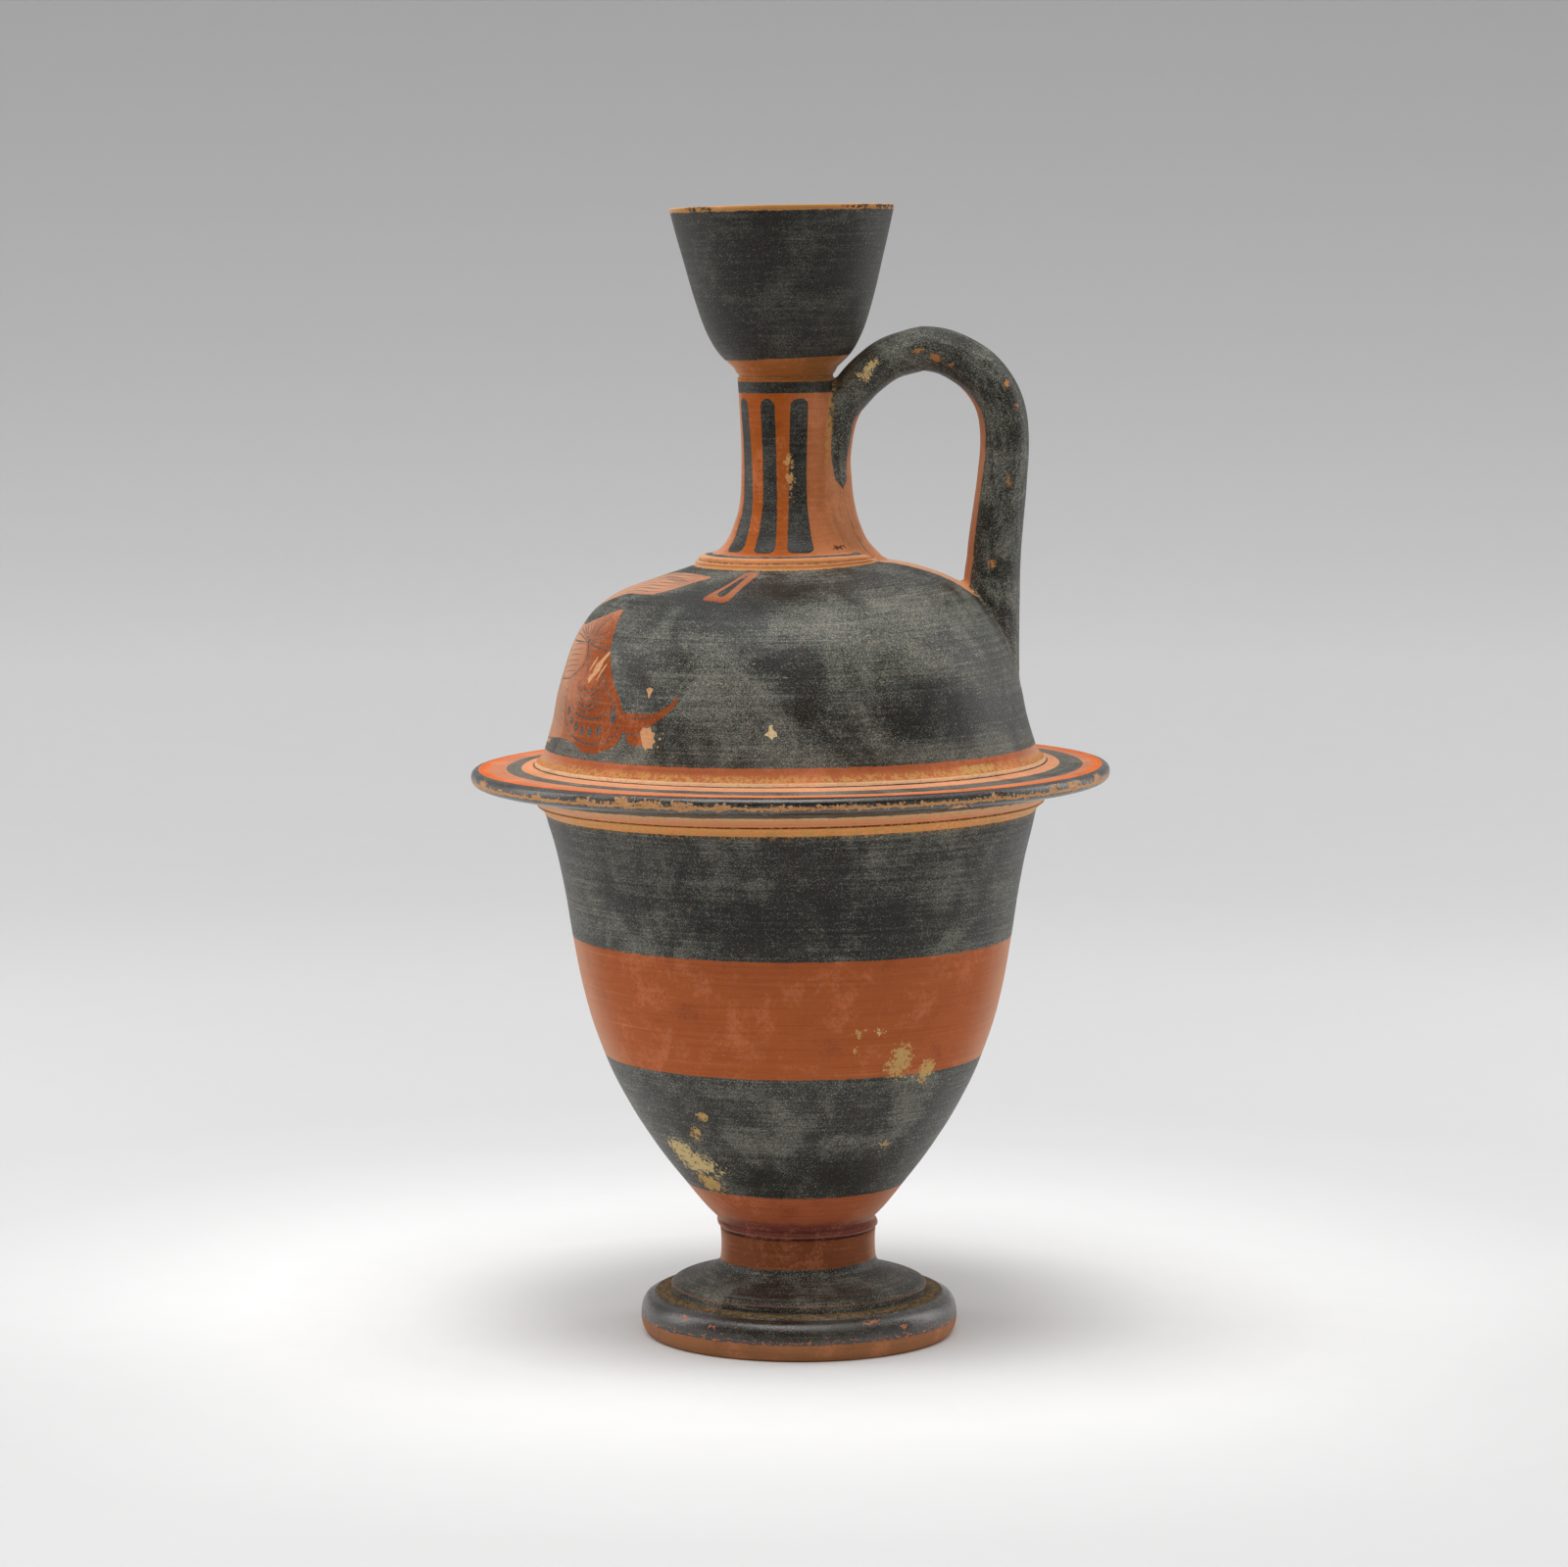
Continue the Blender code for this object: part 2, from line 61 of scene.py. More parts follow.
# The pot's profile as it was turned, from the middle of its underside out, up, over the lip and
# down inside to the floor: name, spacing of its rings, steps round it, whether its curve is free,
# points (radius, z)
PROFILE = (
    ("underside", 4, 72, False, ((0, 3.5), (31.5, 3.5))),
    ("recess", 0.8, 144, True, ((31.5, 3.5), (33.8, 3.1), (35, 1.2), (35.6, 0))),
    ("ring", 2, 144, False, ((35.6, 0), (43.1, 0))),
    ("torus", 0.9, 288, True, (
        (43.1, 0), (44.4, 1.4), (45.1, 3.6), (45.2, 6), (44.7, 8.6), (43.3, 10.7), (41.1, 11.5),
    )),
    ("ledge", 0.7, 240, False, ((41.1, 11.5), (40.9, 11.9), (36.6, 12.25), (36.4, 12.1))),
    ("riser", FINE, 240, False, ((36.4, 12.1), (36.55, 12.4), (36.6, 13.9), (36.3, 14.25))),
    ("sweep", MEDIUM, 192, True, (
        (36.3, 14.25), (35.6, 14.95), (33.6, 15.8), (29.4, 16.95), (25.3, 18.45), (22.8, 20.3), (22.25, 22.2),
    )),
    ("stem", 1.2, 144, True, ((22.25, 22.2), (22.1, 24.5), (22.1, 27.5), (22.3, 29.8))),
    ("joint", FINE, 144, False, (
        (22.3, 29.8), (21.6, 30.2), (22, 30.6), (22.9, 31), (23.05, 31.6), (22.95, 32.4), (22.3, 32.9), (22.6, 33.4),
    )),
    ("bowl", 2.2, 216, True, (
        (22.6, 33.4), (27.46, 38.74), (40.4, 55.6), (50.6, 73.1), (57.2, 90), (61.2, 106.9), (65.45, 132.5),
        (69.7, 149.9),
    )),
    ("ochre_band", 0.6, 288, True, ((69.7, 149.9), (69.95, 150.3), (70.75, 151.2), (72, 152.2))),
    ("groove", FINE, 288, False, ((72, 152.2), (72.05, 152.45), (71.85, 152.65), (72.35, 152.95))),
    ("moulding", 0.6, 288, True, ((72.35, 152.95), (73.2, 153.7), (75.2, 154.8), (77.9, 155.5))),
    ("underlip", 1.1, 288, False, ((77.9, 155.5), (78, 155.8), (85, 157.3), (87.2, 157.55))),
    ("lip", 0.7, 480, True, (
        (87.2, 157.55), (89.1, 158.15), (90.15, 159.2), (90.45, 160.5), (90.2, 161.8), (89.3, 162.6), (88, 162.85),
    )),
    ("outer_ring", 1.1, 288, False, ((88, 162.85), (87.4, 162.8), (81.6, 162.75), (81.3, 162.6))),
    ("dark_ring", 0.9, 288, False, ((81.3, 162.6), (81, 162.85), (76.4, 163.1), (76.1, 163))),
    ("salmon_ring", 0.7, 288, False, ((76.1, 163), (75.9, 163.2), (72.7, 163.75), (72.5, 163.75))),
    ("ridge", FINE, 288, True, ((72.5, 163.75), (72.35, 164.4), (72, 164.85), (71.5, 165.1))),
    ("fillet", 0.6, 288, True, ((71.5, 165.1), (70.6, 165.9), (69.9, 167), (69.5, 168.2))),
    ("dome", COARSE, DOME_STEPS, True, (
        (69.5, 168.2), (68.4, 171.6), (67.05, 176.6), (65.3, 184.9), (61.8, 195.8), (58.4, 202.5), (54.15, 207.7),
        (47.05, 212.45), (37.5, 215.8), (26.4, 219.5),
    )),
    ("lower_fillet", FINE, 192, False, ((26.4, 219.5), (26.15, 219.9), (26.05, 220.6), (25.6, 220.95), (24.9, 220.95))),
    ("upper_fillet", FINE, 192, False, (
        (24.9, 220.95), (25.1, 221.4), (24.9, 221.9), (24.2, 222.35), (23.3, 222.6), (22.9, 222.5),
    )),
    ("neck", 1.3, 144, True, (
        (22.9, 222.5), (19.5, 223.8), (17.07, 226.6), (15.2, 230.6), (13.7, 235.8), (13, 242.2), (12.9, 254.1),
        (13.4, 265), (13.75, 272),
    )),
    ("neck_groove", FINE, 144, False, ((13.75, 272), (13.3, 272.3), (13.4, 272.8), (13.9, 273.2))),
    ("mouth", COARSE, 144, True, (
        (13.9, 273.2), (14.8, 274.8), (18.1, 277.8), (20.8, 281.9), (23.9, 289.3), (27.6, 302.6), (31.75, 319),
    )),
    ("rim", FINE, 192, True, (
        (31.75, 319), (31.6, 319.7), (31, 319.98), (29.6, 319.98), (28.8, 319.6), (28.35, 318.9),
    )),
    ("mouth_inside", 3, 96, True, (
        (28.35, 318.9), (23.9, 303.7), (20.3, 290.5), (17.4, 283.6), (15.2, 280.3), (11.9, 277.4), (8.2, 275),
        (6.8, 271),
    )),
    ("bore", 6, 64, False, ((6.8, 271), (6.8, 222))),
    ("hollow", 5, 96, True, (
        (6.8, 222), (9, 218.8), (24.4, 214.4), (35.7, 210.6), (44.7, 207.2), (50.5, 203.3), (53.7, 199.3),
        (56.7, 193.6), (60, 183.4), (61.7, 175.4), (63.9, 166.5), (64.4, 151.3), (60.1, 133.6), (55.8, 107.9),
        (52, 91.7), (45.6, 75.5), (35.9, 58.7), (24.6, 43.6), (20, 41.2),
    )),
    ("floor", 5, 72, False, ((20, 41.2), (0, 40.5))),
)

# How the pot leans and slants, as in the CAD source
LEAN = 0.012
MOUTH_LEAN = 0.025
FOOT_OFFSET = 0.6
UPPER_SLANT = 0.01
RIM_SLANT = 0.02
SLANT_BLEND = 8
SHOULDER_SWELL = 2.8
SWELL_NEAR_NECK = 0.6
HEIGHT = 320
FLANGE_Z = 160.2
BOWL_TOP_Z = 150
BOWL_BASE_Z = 33.5
COLLAR_Z = 31.1
DOME_BASE_Z = 167.8
DOME_BASE_RADIUS = 69.2
NECK_BASE_Z = 222.4
NECK_TOP_Z = 273.2
NECK_RING_RADIUS = 25.2

# The handle's centre line in its own plane: distance from the axis, z, thickness, width across
HANDLE = (
    (23.65, 216.7, 11.2, 21), (17.8, 223.3, 11.2, 20), (14.6, 230.6, 11.2, 18.5), (13.1, 237.4, 11.2, 16.5),
    (12.6, 243.7, 11.2, 14.6), (12.5, 250, 11.2, 13.2), (13.9, 259, 11.3, 12.8), (15.95, 264.7, 11.5, 13),
    (18.7, 268.3, 11.6, 13.2), (22.6, 272.4, 11.8, 13.6), (28.9, 277, 12, 14), (36.1, 279.4, 12.2, 14.1),
    (39.6, 280, 12.4, 14.3), (46, 278.7, 12.8, 14.7), (53.4, 274.3, 13.35, 15.3), (58.3, 268.2, 13.6, 15.6),
    (60.8, 261.5, 13.8, 15.8), (61.4, 253, 13.9, 16), (60.5, 243.1, 14.2, 16.2), (59.2, 231.9, 14.65, 16.6),
    (58.2, 222, 15, 17), (57.6, 208, 15.2, 18.5), (61.2, 178, 8, 15),
)
ROD_SPACING = 1.4
TRIM_INTO_WALL = 1.3
SEAM_REACH = 2.6
SEAM_ROUNDS = 14

# The camera
EYE = (-0.0018, -1.422, 0.307)
EYE_PITCH = 6.013
LENS = 115.9


def smooth_step(value):
    t = np.clip(value, 0, 1)
    return t * t * (3 - 2 * t)


def catmull_rom(points, per_span):
    """Points on a smooth curve through the given points, of any dimension, with both ends kept."""
    pts = np.array(points, float)
    guided = np.vstack([2 * pts[0] - pts[1], pts, 2 * pts[-1] - pts[-2]])
    t = (np.arange(per_span) / per_span)[:, None]
    spans = []
    for i in range(1, len(guided) - 2):
        a, b, c, d = guided[i - 1 : i + 3]
        spans.append(0.5 * (2 * b + (c - a) * t + (2 * a - 5 * b + 4 * c - d) * t**2 + (3 * b - a - 3 * c + d) * t**3))
    return np.vstack([*spans, pts[-1:]])


def lengths_along(points):
    steps = np.linalg.norm(np.diff(points, axis=0), axis=1)
    return np.concatenate([[0], np.cumsum(steps)])


def resampled(points, spacing):
    """The same curve at about even spacing."""
    total = lengths_along(points)
    count = max(int(round(total[-1] / spacing)), 1)
    at = np.linspace(0, total[-1], count + 1)
    return np.stack([np.interp(at, total, points[:, k]) for k in range(points.shape[1])], 1)


def with_corners(points, spacing):
    """A polyline at about even spacing, with its corners kept."""
    legs = [resampled(np.array(leg), spacing) for leg in zip(points, points[1:])]
    return np.vstack([legs[0], *[leg[1:] for leg in legs[1:]]])


def tree_of(points):
    tree = KDTree(len(points))
    for i, point in enumerate(points):
        tree.insert(point, i)
    tree.balance()
    return tree


class Profile:
    """The turned profile: its rings, and the way from a place to how far along it lies."""

    def __init__(self):
        self.start = {}
        rings, steps, dense, at = [], [], [], 0
        for name, spacing, count, free, points in PROFILE:
            self.start[name] = at
            if free:
                curve = catmull_rom(points, CURVE_STEPS)
                strip, fine = resampled(curve, spacing), resampled(curve, DENSE_SPACING)
            else:
                strip, fine = with_corners(points, spacing), with_corners(points, DENSE_SPACING)
            rings.append(strip if not rings else strip[1:])
            steps += [count] * len(rings[-1])
            dense.append(fine if not dense else fine[1:])
            at += lengths_along(fine)[-1]
        self.rings = np.vstack(rings)
        self.steps = steps
        self.dense = np.vstack(dense)
        self.along = lengths_along(self.dense)
        way = np.gradient(self.dense, axis=0)
        self.way = way / np.linalg.norm(way, axis=1)[:, None]
        self.tree = tree_of([(r, z, 0) for r, z in self.dense])
        self.ring_along = np.array([self.at(r, z) for r, z in self.rings])

    def at(self, r, z):
        """How far along the profile the place nearest to a radius and a height lies."""
        _, i, _ = self.tree.find((r, z, 0))
        return self.along[i] + float(np.dot(np.array((r, z)) - self.dense[i], self.way[i]))

    def place(self, along):
        r = np.interp(along, self.along, self.dense[:, 0])
        z = np.interp(along, self.along, self.dense[:, 1])
        return r, z

    def outward(self, along):
        """The way square to the profile, out of the clay."""
        r = np.interp(along, self.along, self.way[:, 0])
        z = np.interp(along, self.along, self.way[:, 1])
        size = np.hypot(r, z)
        return z / size, -r / size


def axis_shift(z):
    foot = 1 - smooth_step((z - COLLAR_Z) / (BOWL_BASE_Z - COLLAR_Z))
    mouth = np.maximum(z - NECK_TOP_Z, 0)
    return LEAN * (FLANGE_Z - z) - (MOUTH_LEAN - LEAN) * mouth + FOOT_OFFSET * foot


def ring_slant(z):
    upper = UPPER_SLANT * smooth_step((z - BOWL_TOP_Z + SLANT_BLEND) / SLANT_BLEND)
    mouth = np.maximum(z - NECK_TOP_Z, 0) / (HEIGHT - NECK_TOP_Z)
    return upper + (RIM_SLANT - upper) * mouth


def shoulder_swell(x, y, z):
    radius = np.maximum(np.hypot(x, y), 1e-6)
    outward = (radius - NECK_RING_RADIUS) / (DOME_BASE_RADIUS - NECK_RING_RADIUS)
    share = np.clip(outward, 0, 1) ** SWELL_NEAR_NECK
    rise = SHOULDER_SWELL * (x / radius) ** 2 * np.sin(np.pi * share)
    return np.where((x > 0) & (z > DOME_BASE_Z) & (z < NECK_BASE_Z), rise, 0)


def settled(points):
    """True turned points moved to the leaning, slanting shape."""
    x, y, z = points.T
    return np.stack([x + axis_shift(z), y, z + shoulder_swell(x, y, z) + ring_slant(z) * x], 1)


def unsettled(points):
    """The turned points that settled() would move to these."""
    x, y, z = points.T
    x0, z0 = x.copy(), z.copy()
    for _ in range(5):
        x0 = x - axis_shift(z0)
        z0 = z - ring_slant(z0) * x0 - shoulder_swell(x0, y, z0)
    return np.stack([x0, y, z0], 1)


profile = Profile()
ALONG = profile.start

# Chips on the flange's edge and on the foot: heading, strip, millimetres past the strip's start,
# length round the pot, height, depth
CHIPS = (
    (40, "lip", 4.4, 4, 1.8, 0.35), (52, "lip", 4.6, 5, 2.2, 0.45), (60, "lip", 5.2, 4.4, 2.6, 0.5),
    (65, "lip", 5, 5, 2.4, 0.5), (71, "lip", 4.6, 4.6, 2.2, 0.45), (78.5, "lip", 4.4, 3.4, 1.8, 0.4),
    (88, "lip", 4.2, 3, 1.6, 0.35), (101, "lip", 4, 2.6, 1.4, 0.3), (121, "lip", 1.6, 6.5, 1.8, 0.35),
    (128, "lip", 5.2, 3.4, 1.6, 0.4), (143, "lip", 5, 3.4, 2, 0.45), (149.5, "lip", 5.4, 5.5, 2.2, 0.45),
    (161, "lip", 5, 5.5, 3, 0.4), (19, "lip", 5.2, 4.6, 2, 0.4), (215, "lip", 4.4, 3.6, 1.8, 0.4),
    (262, "lip", 5, 3.4, 1.8, 0.4), (305, "lip", 4.6, 4, 2, 0.4), (344, "lip", 5, 3.6, 1.6, 0.4),
    (43, "torus", 10.6, 3, 0.9, 0.2), (57, "torus", 9.6, 2.2, 0.8, 0.2), (118, "torus", 11.6, 4.6, 0.8, 0.2),
    (131, "torus", 8.8, 2.8, 0.8, 0.2), (230, "torus", 9.8, 3.2, 1.2, 0.25),
)


def chart_distance(heading, along, chip):
    """How far a place lies from a chip's middle, 1 at its edge."""
    at, strip, past, length, height, _ = chip
    r, _ = profile.place(ALONG[strip] + past)
    off = (heading - at + 180) % 360 - 180
    across = np.radians(off) * r / (length / 2)
    up = (along - ALONG[strip] - past) / (height / 2)
    ragged = 1 + 0.22 * np.sin(5 * np.arctan2(up, across) + at)
    return np.hypot(across, up) / ragged


def relief(heading, along):
    """How far the surface lies off the true profile, outwards, in millimetres."""
    a = np.radians(heading)
    wobble = 0.07 * np.sin(2 * a + 0.9 + along / 47) + 0.05 * np.sin(3 * a - along / 31)
    wobble = wobble + 0.03 * np.sin(7 * a + along / 9) * np.sin(along / 13 + 2 * np.sin(a))
    wobble = wobble + 0.025 * np.sin(along / 2.3 + 0.7 * np.sin(3 * a))
    off = wobble - 0.175
    for chip in CHIPS:
        off = off - chip[5] * (1 - smooth_step((chart_distance(heading, along, chip) - 0.55) / 0.6))
    keeps = (along > ALONG["torus"] + 1) & (along < ALONG["mouth_inside"])
    return np.where(keeps, off, 0)


def pot_points(heading, along):
    """Places on the pot's surface as points in millimetres."""
    r, z = profile.place(along)
    out_r, out_z = profile.outward(along)
    off = relief(heading, along)
    r = np.maximum(r + out_r * off, 0)
    z = z + out_z * off
    a = np.radians(heading)
    return settled(np.stack([-r * np.cos(a), -r * np.sin(a), z], 1))


def new_object(name, points, faces):
    mesh = bpy.data.meshes.new(name)
    mesh.from_pydata([tuple(p) for p in (np.array(points) * MM).tolist()], [], faces)
    mesh.update()
    obj = bpy.data.objects.new(name, mesh)
    bpy.context.scene.collection.objects.link(obj)
    return obj


def zipped(low, high, low_base, high_base):
    """Triangles between two rings with different numbers of points."""
    faces, i, j = [], 0, 0
    while i < low or j < high:
        if (i + 1) / low <= (j + 1) / high and i < low:
            faces.append((low_base + i % low, low_base + (i + 1) % low, high_base + j % high))
            i += 1
        else:
            faces.append((low_base + i % low, high_base + (j + 1) % high, high_base + j % high))
            j += 1
    return faces


def turned(name, rings, alongs, steps, point_maker):
    """A closed surface of revolution over rings whose first and last lie on the axis."""
    points, bases, faces = [], [], []
    total = 0
    for k, (along, count) in enumerate(zip(alongs, steps)):
        count = 1 if rings[k][0] < 1e-6 else count
        heading = 360 * np.arange(count) / count
        points.append(point_maker(heading, np.full(count, along), k))
        bases.append((total, count))
        total += count
    for (low_base, low), (high_base, high) in zip(bases, bases[1:]):
        if low == high:
            for i in range(low):
                j = (i + 1) % low
                faces.append((low_base + i, low_base + j, high_base + j, high_base + i))
        elif low == 1:
            faces += [(low_base, high_base + (i + 1) % high, high_base + i) for i in range(high)]
        elif high == 1:
            faces += [(low_base + i, low_base + (i + 1) % low, high_base) for i in range(low)]
        else:
            faces += zipped(low, high, low_base, high_base)
    return new_object(name, np.vstack(points), faces)


def make_pot():
    return turned("pot_blank", profile.rings, profile.ring_along, profile.steps, lambda h, s, k: pot_points(h, s))


def make_trimmer():
    """A little more than the hollow, to cut off what of the handle would stand inside the pot."""
    first = ALONG["mouth_inside"] + 20
    keep = np.arange(first, ALONG["floor"] - 6, 4)
    r, z = profile.place(keep)
    out_r, out_z = profile.outward(keep)
    r, z = r - out_r * TRIM_INTO_WALL, z - out_z * TRIM_INTO_WALL
    rings = [(0, z[0]), *zip(r, z), (0, z[-1])]

    def points(heading, _, k):
        radius, height = rings[k]
        a = np.radians(heading)
        return settled(np.stack([-radius * np.cos(a), -radius * np.sin(a), np.full(len(a), height)], 1))

    return turned("trimmer", rings, range(len(rings)), [TRIMMER_STEPS] * len(rings), points)


class Rod:
    """The handle's centre line, with the way along it and out of the loop."""

    def __init__(self):
        path = resampled(catmull_rom(HANDLE, 12), ROD_PATH_SPACING)
        self.centre = path[:, :2]
        self.thick = path[:, 2]
        self.wide = path[:, 3]
        self.along = lengths_along(self.centre)
        way = np.gradient(self.centre, axis=0)
        way = way / np.linalg.norm(way, axis=1)[:, None]
        self.way = way
        self.out = np.stack([-way[:, 1], way[:, 0]], 1)
        self.tree = tree_of([(x, 0, z) for x, z in self.centre])

    def at_height(self, z, rising):
        """How far along the centre line a height lies, on the neck's side or on the far side."""
        top = int(np.argmax(self.centre[:, 1]))
        part = slice(0, top) if rising else slice(top, len(self.along))
        i = int(np.argmin(np.abs(self.centre[part, 1] - z)))
        return float(self.along[part][i])

    def ring(self, along):
        i = int(np.argmin(np.abs(self.along - along)))
        angle = 2 * np.pi * np.arange(ROD_STEPS) / ROD_STEPS
        swell = 1 + 0.012 * np.sin(2 * angle + along / 11) + 0.008 * np.sin(along / 5 + 3 * angle)
        u = np.cos(angle) * self.thick[i] / 2 * swell
        v = np.sin(angle) * self.wide[i] / 2 * swell
        x = self.centre[i, 0] + self.out[i, 0] * u
        z = self.centre[i, 1] + self.out[i, 1] * u
        return np.stack([x, v, z], 1)


rod = Rod()


def make_rod():
    count = int(round(rod.along[-1] / ROD_SPACING))
    stations = np.linspace(0, rod.along[-1], count + 1)
    points = np.vstack([rod.ring(at) for at in stations])
    faces = []
    for k in range(count):
        low, high = k * ROD_STEPS, (k + 1) * ROD_STEPS
        for i in range(ROD_STEPS):
            j = (i + 1) % ROD_STEPS
            faces.append((low + i, high + i, high + j, low + j))
    faces.append(tuple(range(ROD_STEPS)))
    faces.append(tuple(count * ROD_STEPS + i for i in reversed(range(ROD_STEPS))))
    shift = np.stack([axis_shift(points[:, 2]), np.zeros(len(points)), np.zeros(len(points))], 1)
    obj = new_object("rod_blank", points + shift, faces)
    shape = bmesh.new()
    shape.from_mesh(obj.data)
    bmesh.ops.recalc_face_normals(shape, faces=shape.faces)
    shape.to_mesh(obj.data)
    shape.free()
    return obj


def boolean(target, tool, operation):
    modifier = target.modifiers.new("Join", "BOOLEAN")
    modifier.operation = operation
    modifier.solver = "EXACT"
    modifier.object = tool
    graph = bpy.context.evaluated_depsgraph_get()
    mesh = bpy.data.meshes.new_from_object(target.evaluated_get(graph))
    target.modifiers.clear()
    target.data = mesh
    bpy.data.objects.remove(tool, do_unlink=True)


# The painted picture, on a chart of the shoulder laid flat: x = heading times CHART_STRETCH,
# y = millimetres up from the dome's foot. Later shapes lie over earlier ones.
CHART_STRETCH = 1.13
CHART_LOW, CHART_HIGH = -85, 93
FIGURE, PALE, LINE, CREAM, TAN = 1, 2, 3, 4, 5
# How far in from the patch's edge the shapes are kept
PATCH_MARGIN = 0.4


def chart(points):
    return [(p * CHART_STRETCH, q) for p, q in points]


def area(paint, points, rounded=True):
    pts = chart(points)
    if rounded:
        pts = [tuple(c) for c in catmull_rom([*pts, pts[0]], 5)[:-1]]
    return paint, pts


def stroke(paint, points, width, taper=0.35):
    """A brush line that thins towards both ends."""
    pts = catmull_rom(chart(points), 6) if len(points) > 2 else resampled(np.array(chart(points)), 2)
    way = np.gradient(pts, axis=0)
    way = way / np.linalg.norm(way, axis=1)[:, None]
    side = np.stack([-way[:, 1], way[:, 0]], 1)
    share = np.linspace(0, 1, len(pts))
    half = width / 2 * (taper + (1 - taper) * np.sin(np.pi * share) ** 0.5)
    left = pts + side * half[:, None]
    right = pts - side * half[:, None]
    return paint, [tuple(c) for c in np.vstack([left, right[::-1]])]


def disc(paint, place, radius):
    (x, y), = chart([place])
    angles = 2 * np.pi * np.arange(10) / 10
    return paint, [(x + radius * math.cos(a), y + radius * math.sin(a)) for a in angles]


def between(low, high, share):
    """The line that lies a share of the way from one line to another."""
    return [(a + (c - a) * share, b + (d - b) * share) for (a, b), (c, d) in zip(low, high)]


def brushed(*rows):
    """Dark lines, each with its points and its width."""
    return [stroke(LINE, points, width) for points, width in rows]


def drop(p, q, wide, tall):
    return area(LINE, ((p, q + tall / 2), (p + wide / 2, q), (p, q - tall / 2), (p - wide / 2, q)))


def wing():
    """The long feathered frond over the head."""
    low = ((-37, 46.5), (-26, 44.6), (-14, 42), (-3, 42), (8, 47.4), (18, 52), (34.5, 53.6), (43, 62.6), (48, 67.3))
    high = (
        (-36, 48.5), (-33, 51.8), (-22, 58.5), (-8.5, 62.9), (5, 66.6), (20, 68.6), (33, 68.9), (42, 68.3),
        (48, 67.3),
    )
    shapes = [area(FIGURE, [*low, *high[-2:0:-1]])]
    shapes.append(area(PALE, [*between(low, high, 0.08)[1:8], *between(low, high, 0.86)[7:0:-1]]))
    for share in (0.12, 0.26, 0.4, 0.54, 0.68, 0.8, 0.91):
        shapes.append(stroke(LINE, between(low, high, share)[1:-1], 0.4))
    for k in range(11):
        start = (10 + 2.5 * k, 63.2 - 0.05 * (k - 4) ** 2)
        shapes.append(stroke(LINE, (start, (start[0] + 1.4, start[1] + 1.5), (start[0] + 3.8, start[1] + 2.6)), 0.55))
    return shapes


def leaf(side):
    """A pointed leaf with a dark slit, on either side of the picture."""
    outline = ((74, 73), (66, 72.2), (62.5, 62), (59.5, 52.6), (64.5, 51.2), (69.5, 51.4), (71, 62))
    slit = ((68.5, 70.4), (66, 67.3), (64.2, 61), (63, 55.8), (66.5, 54.2), (67.6, 62))
    return [area(paint, [(side * p, q) for p, q in points]) for paint, points in ((FIGURE, outline), (0, slit))]


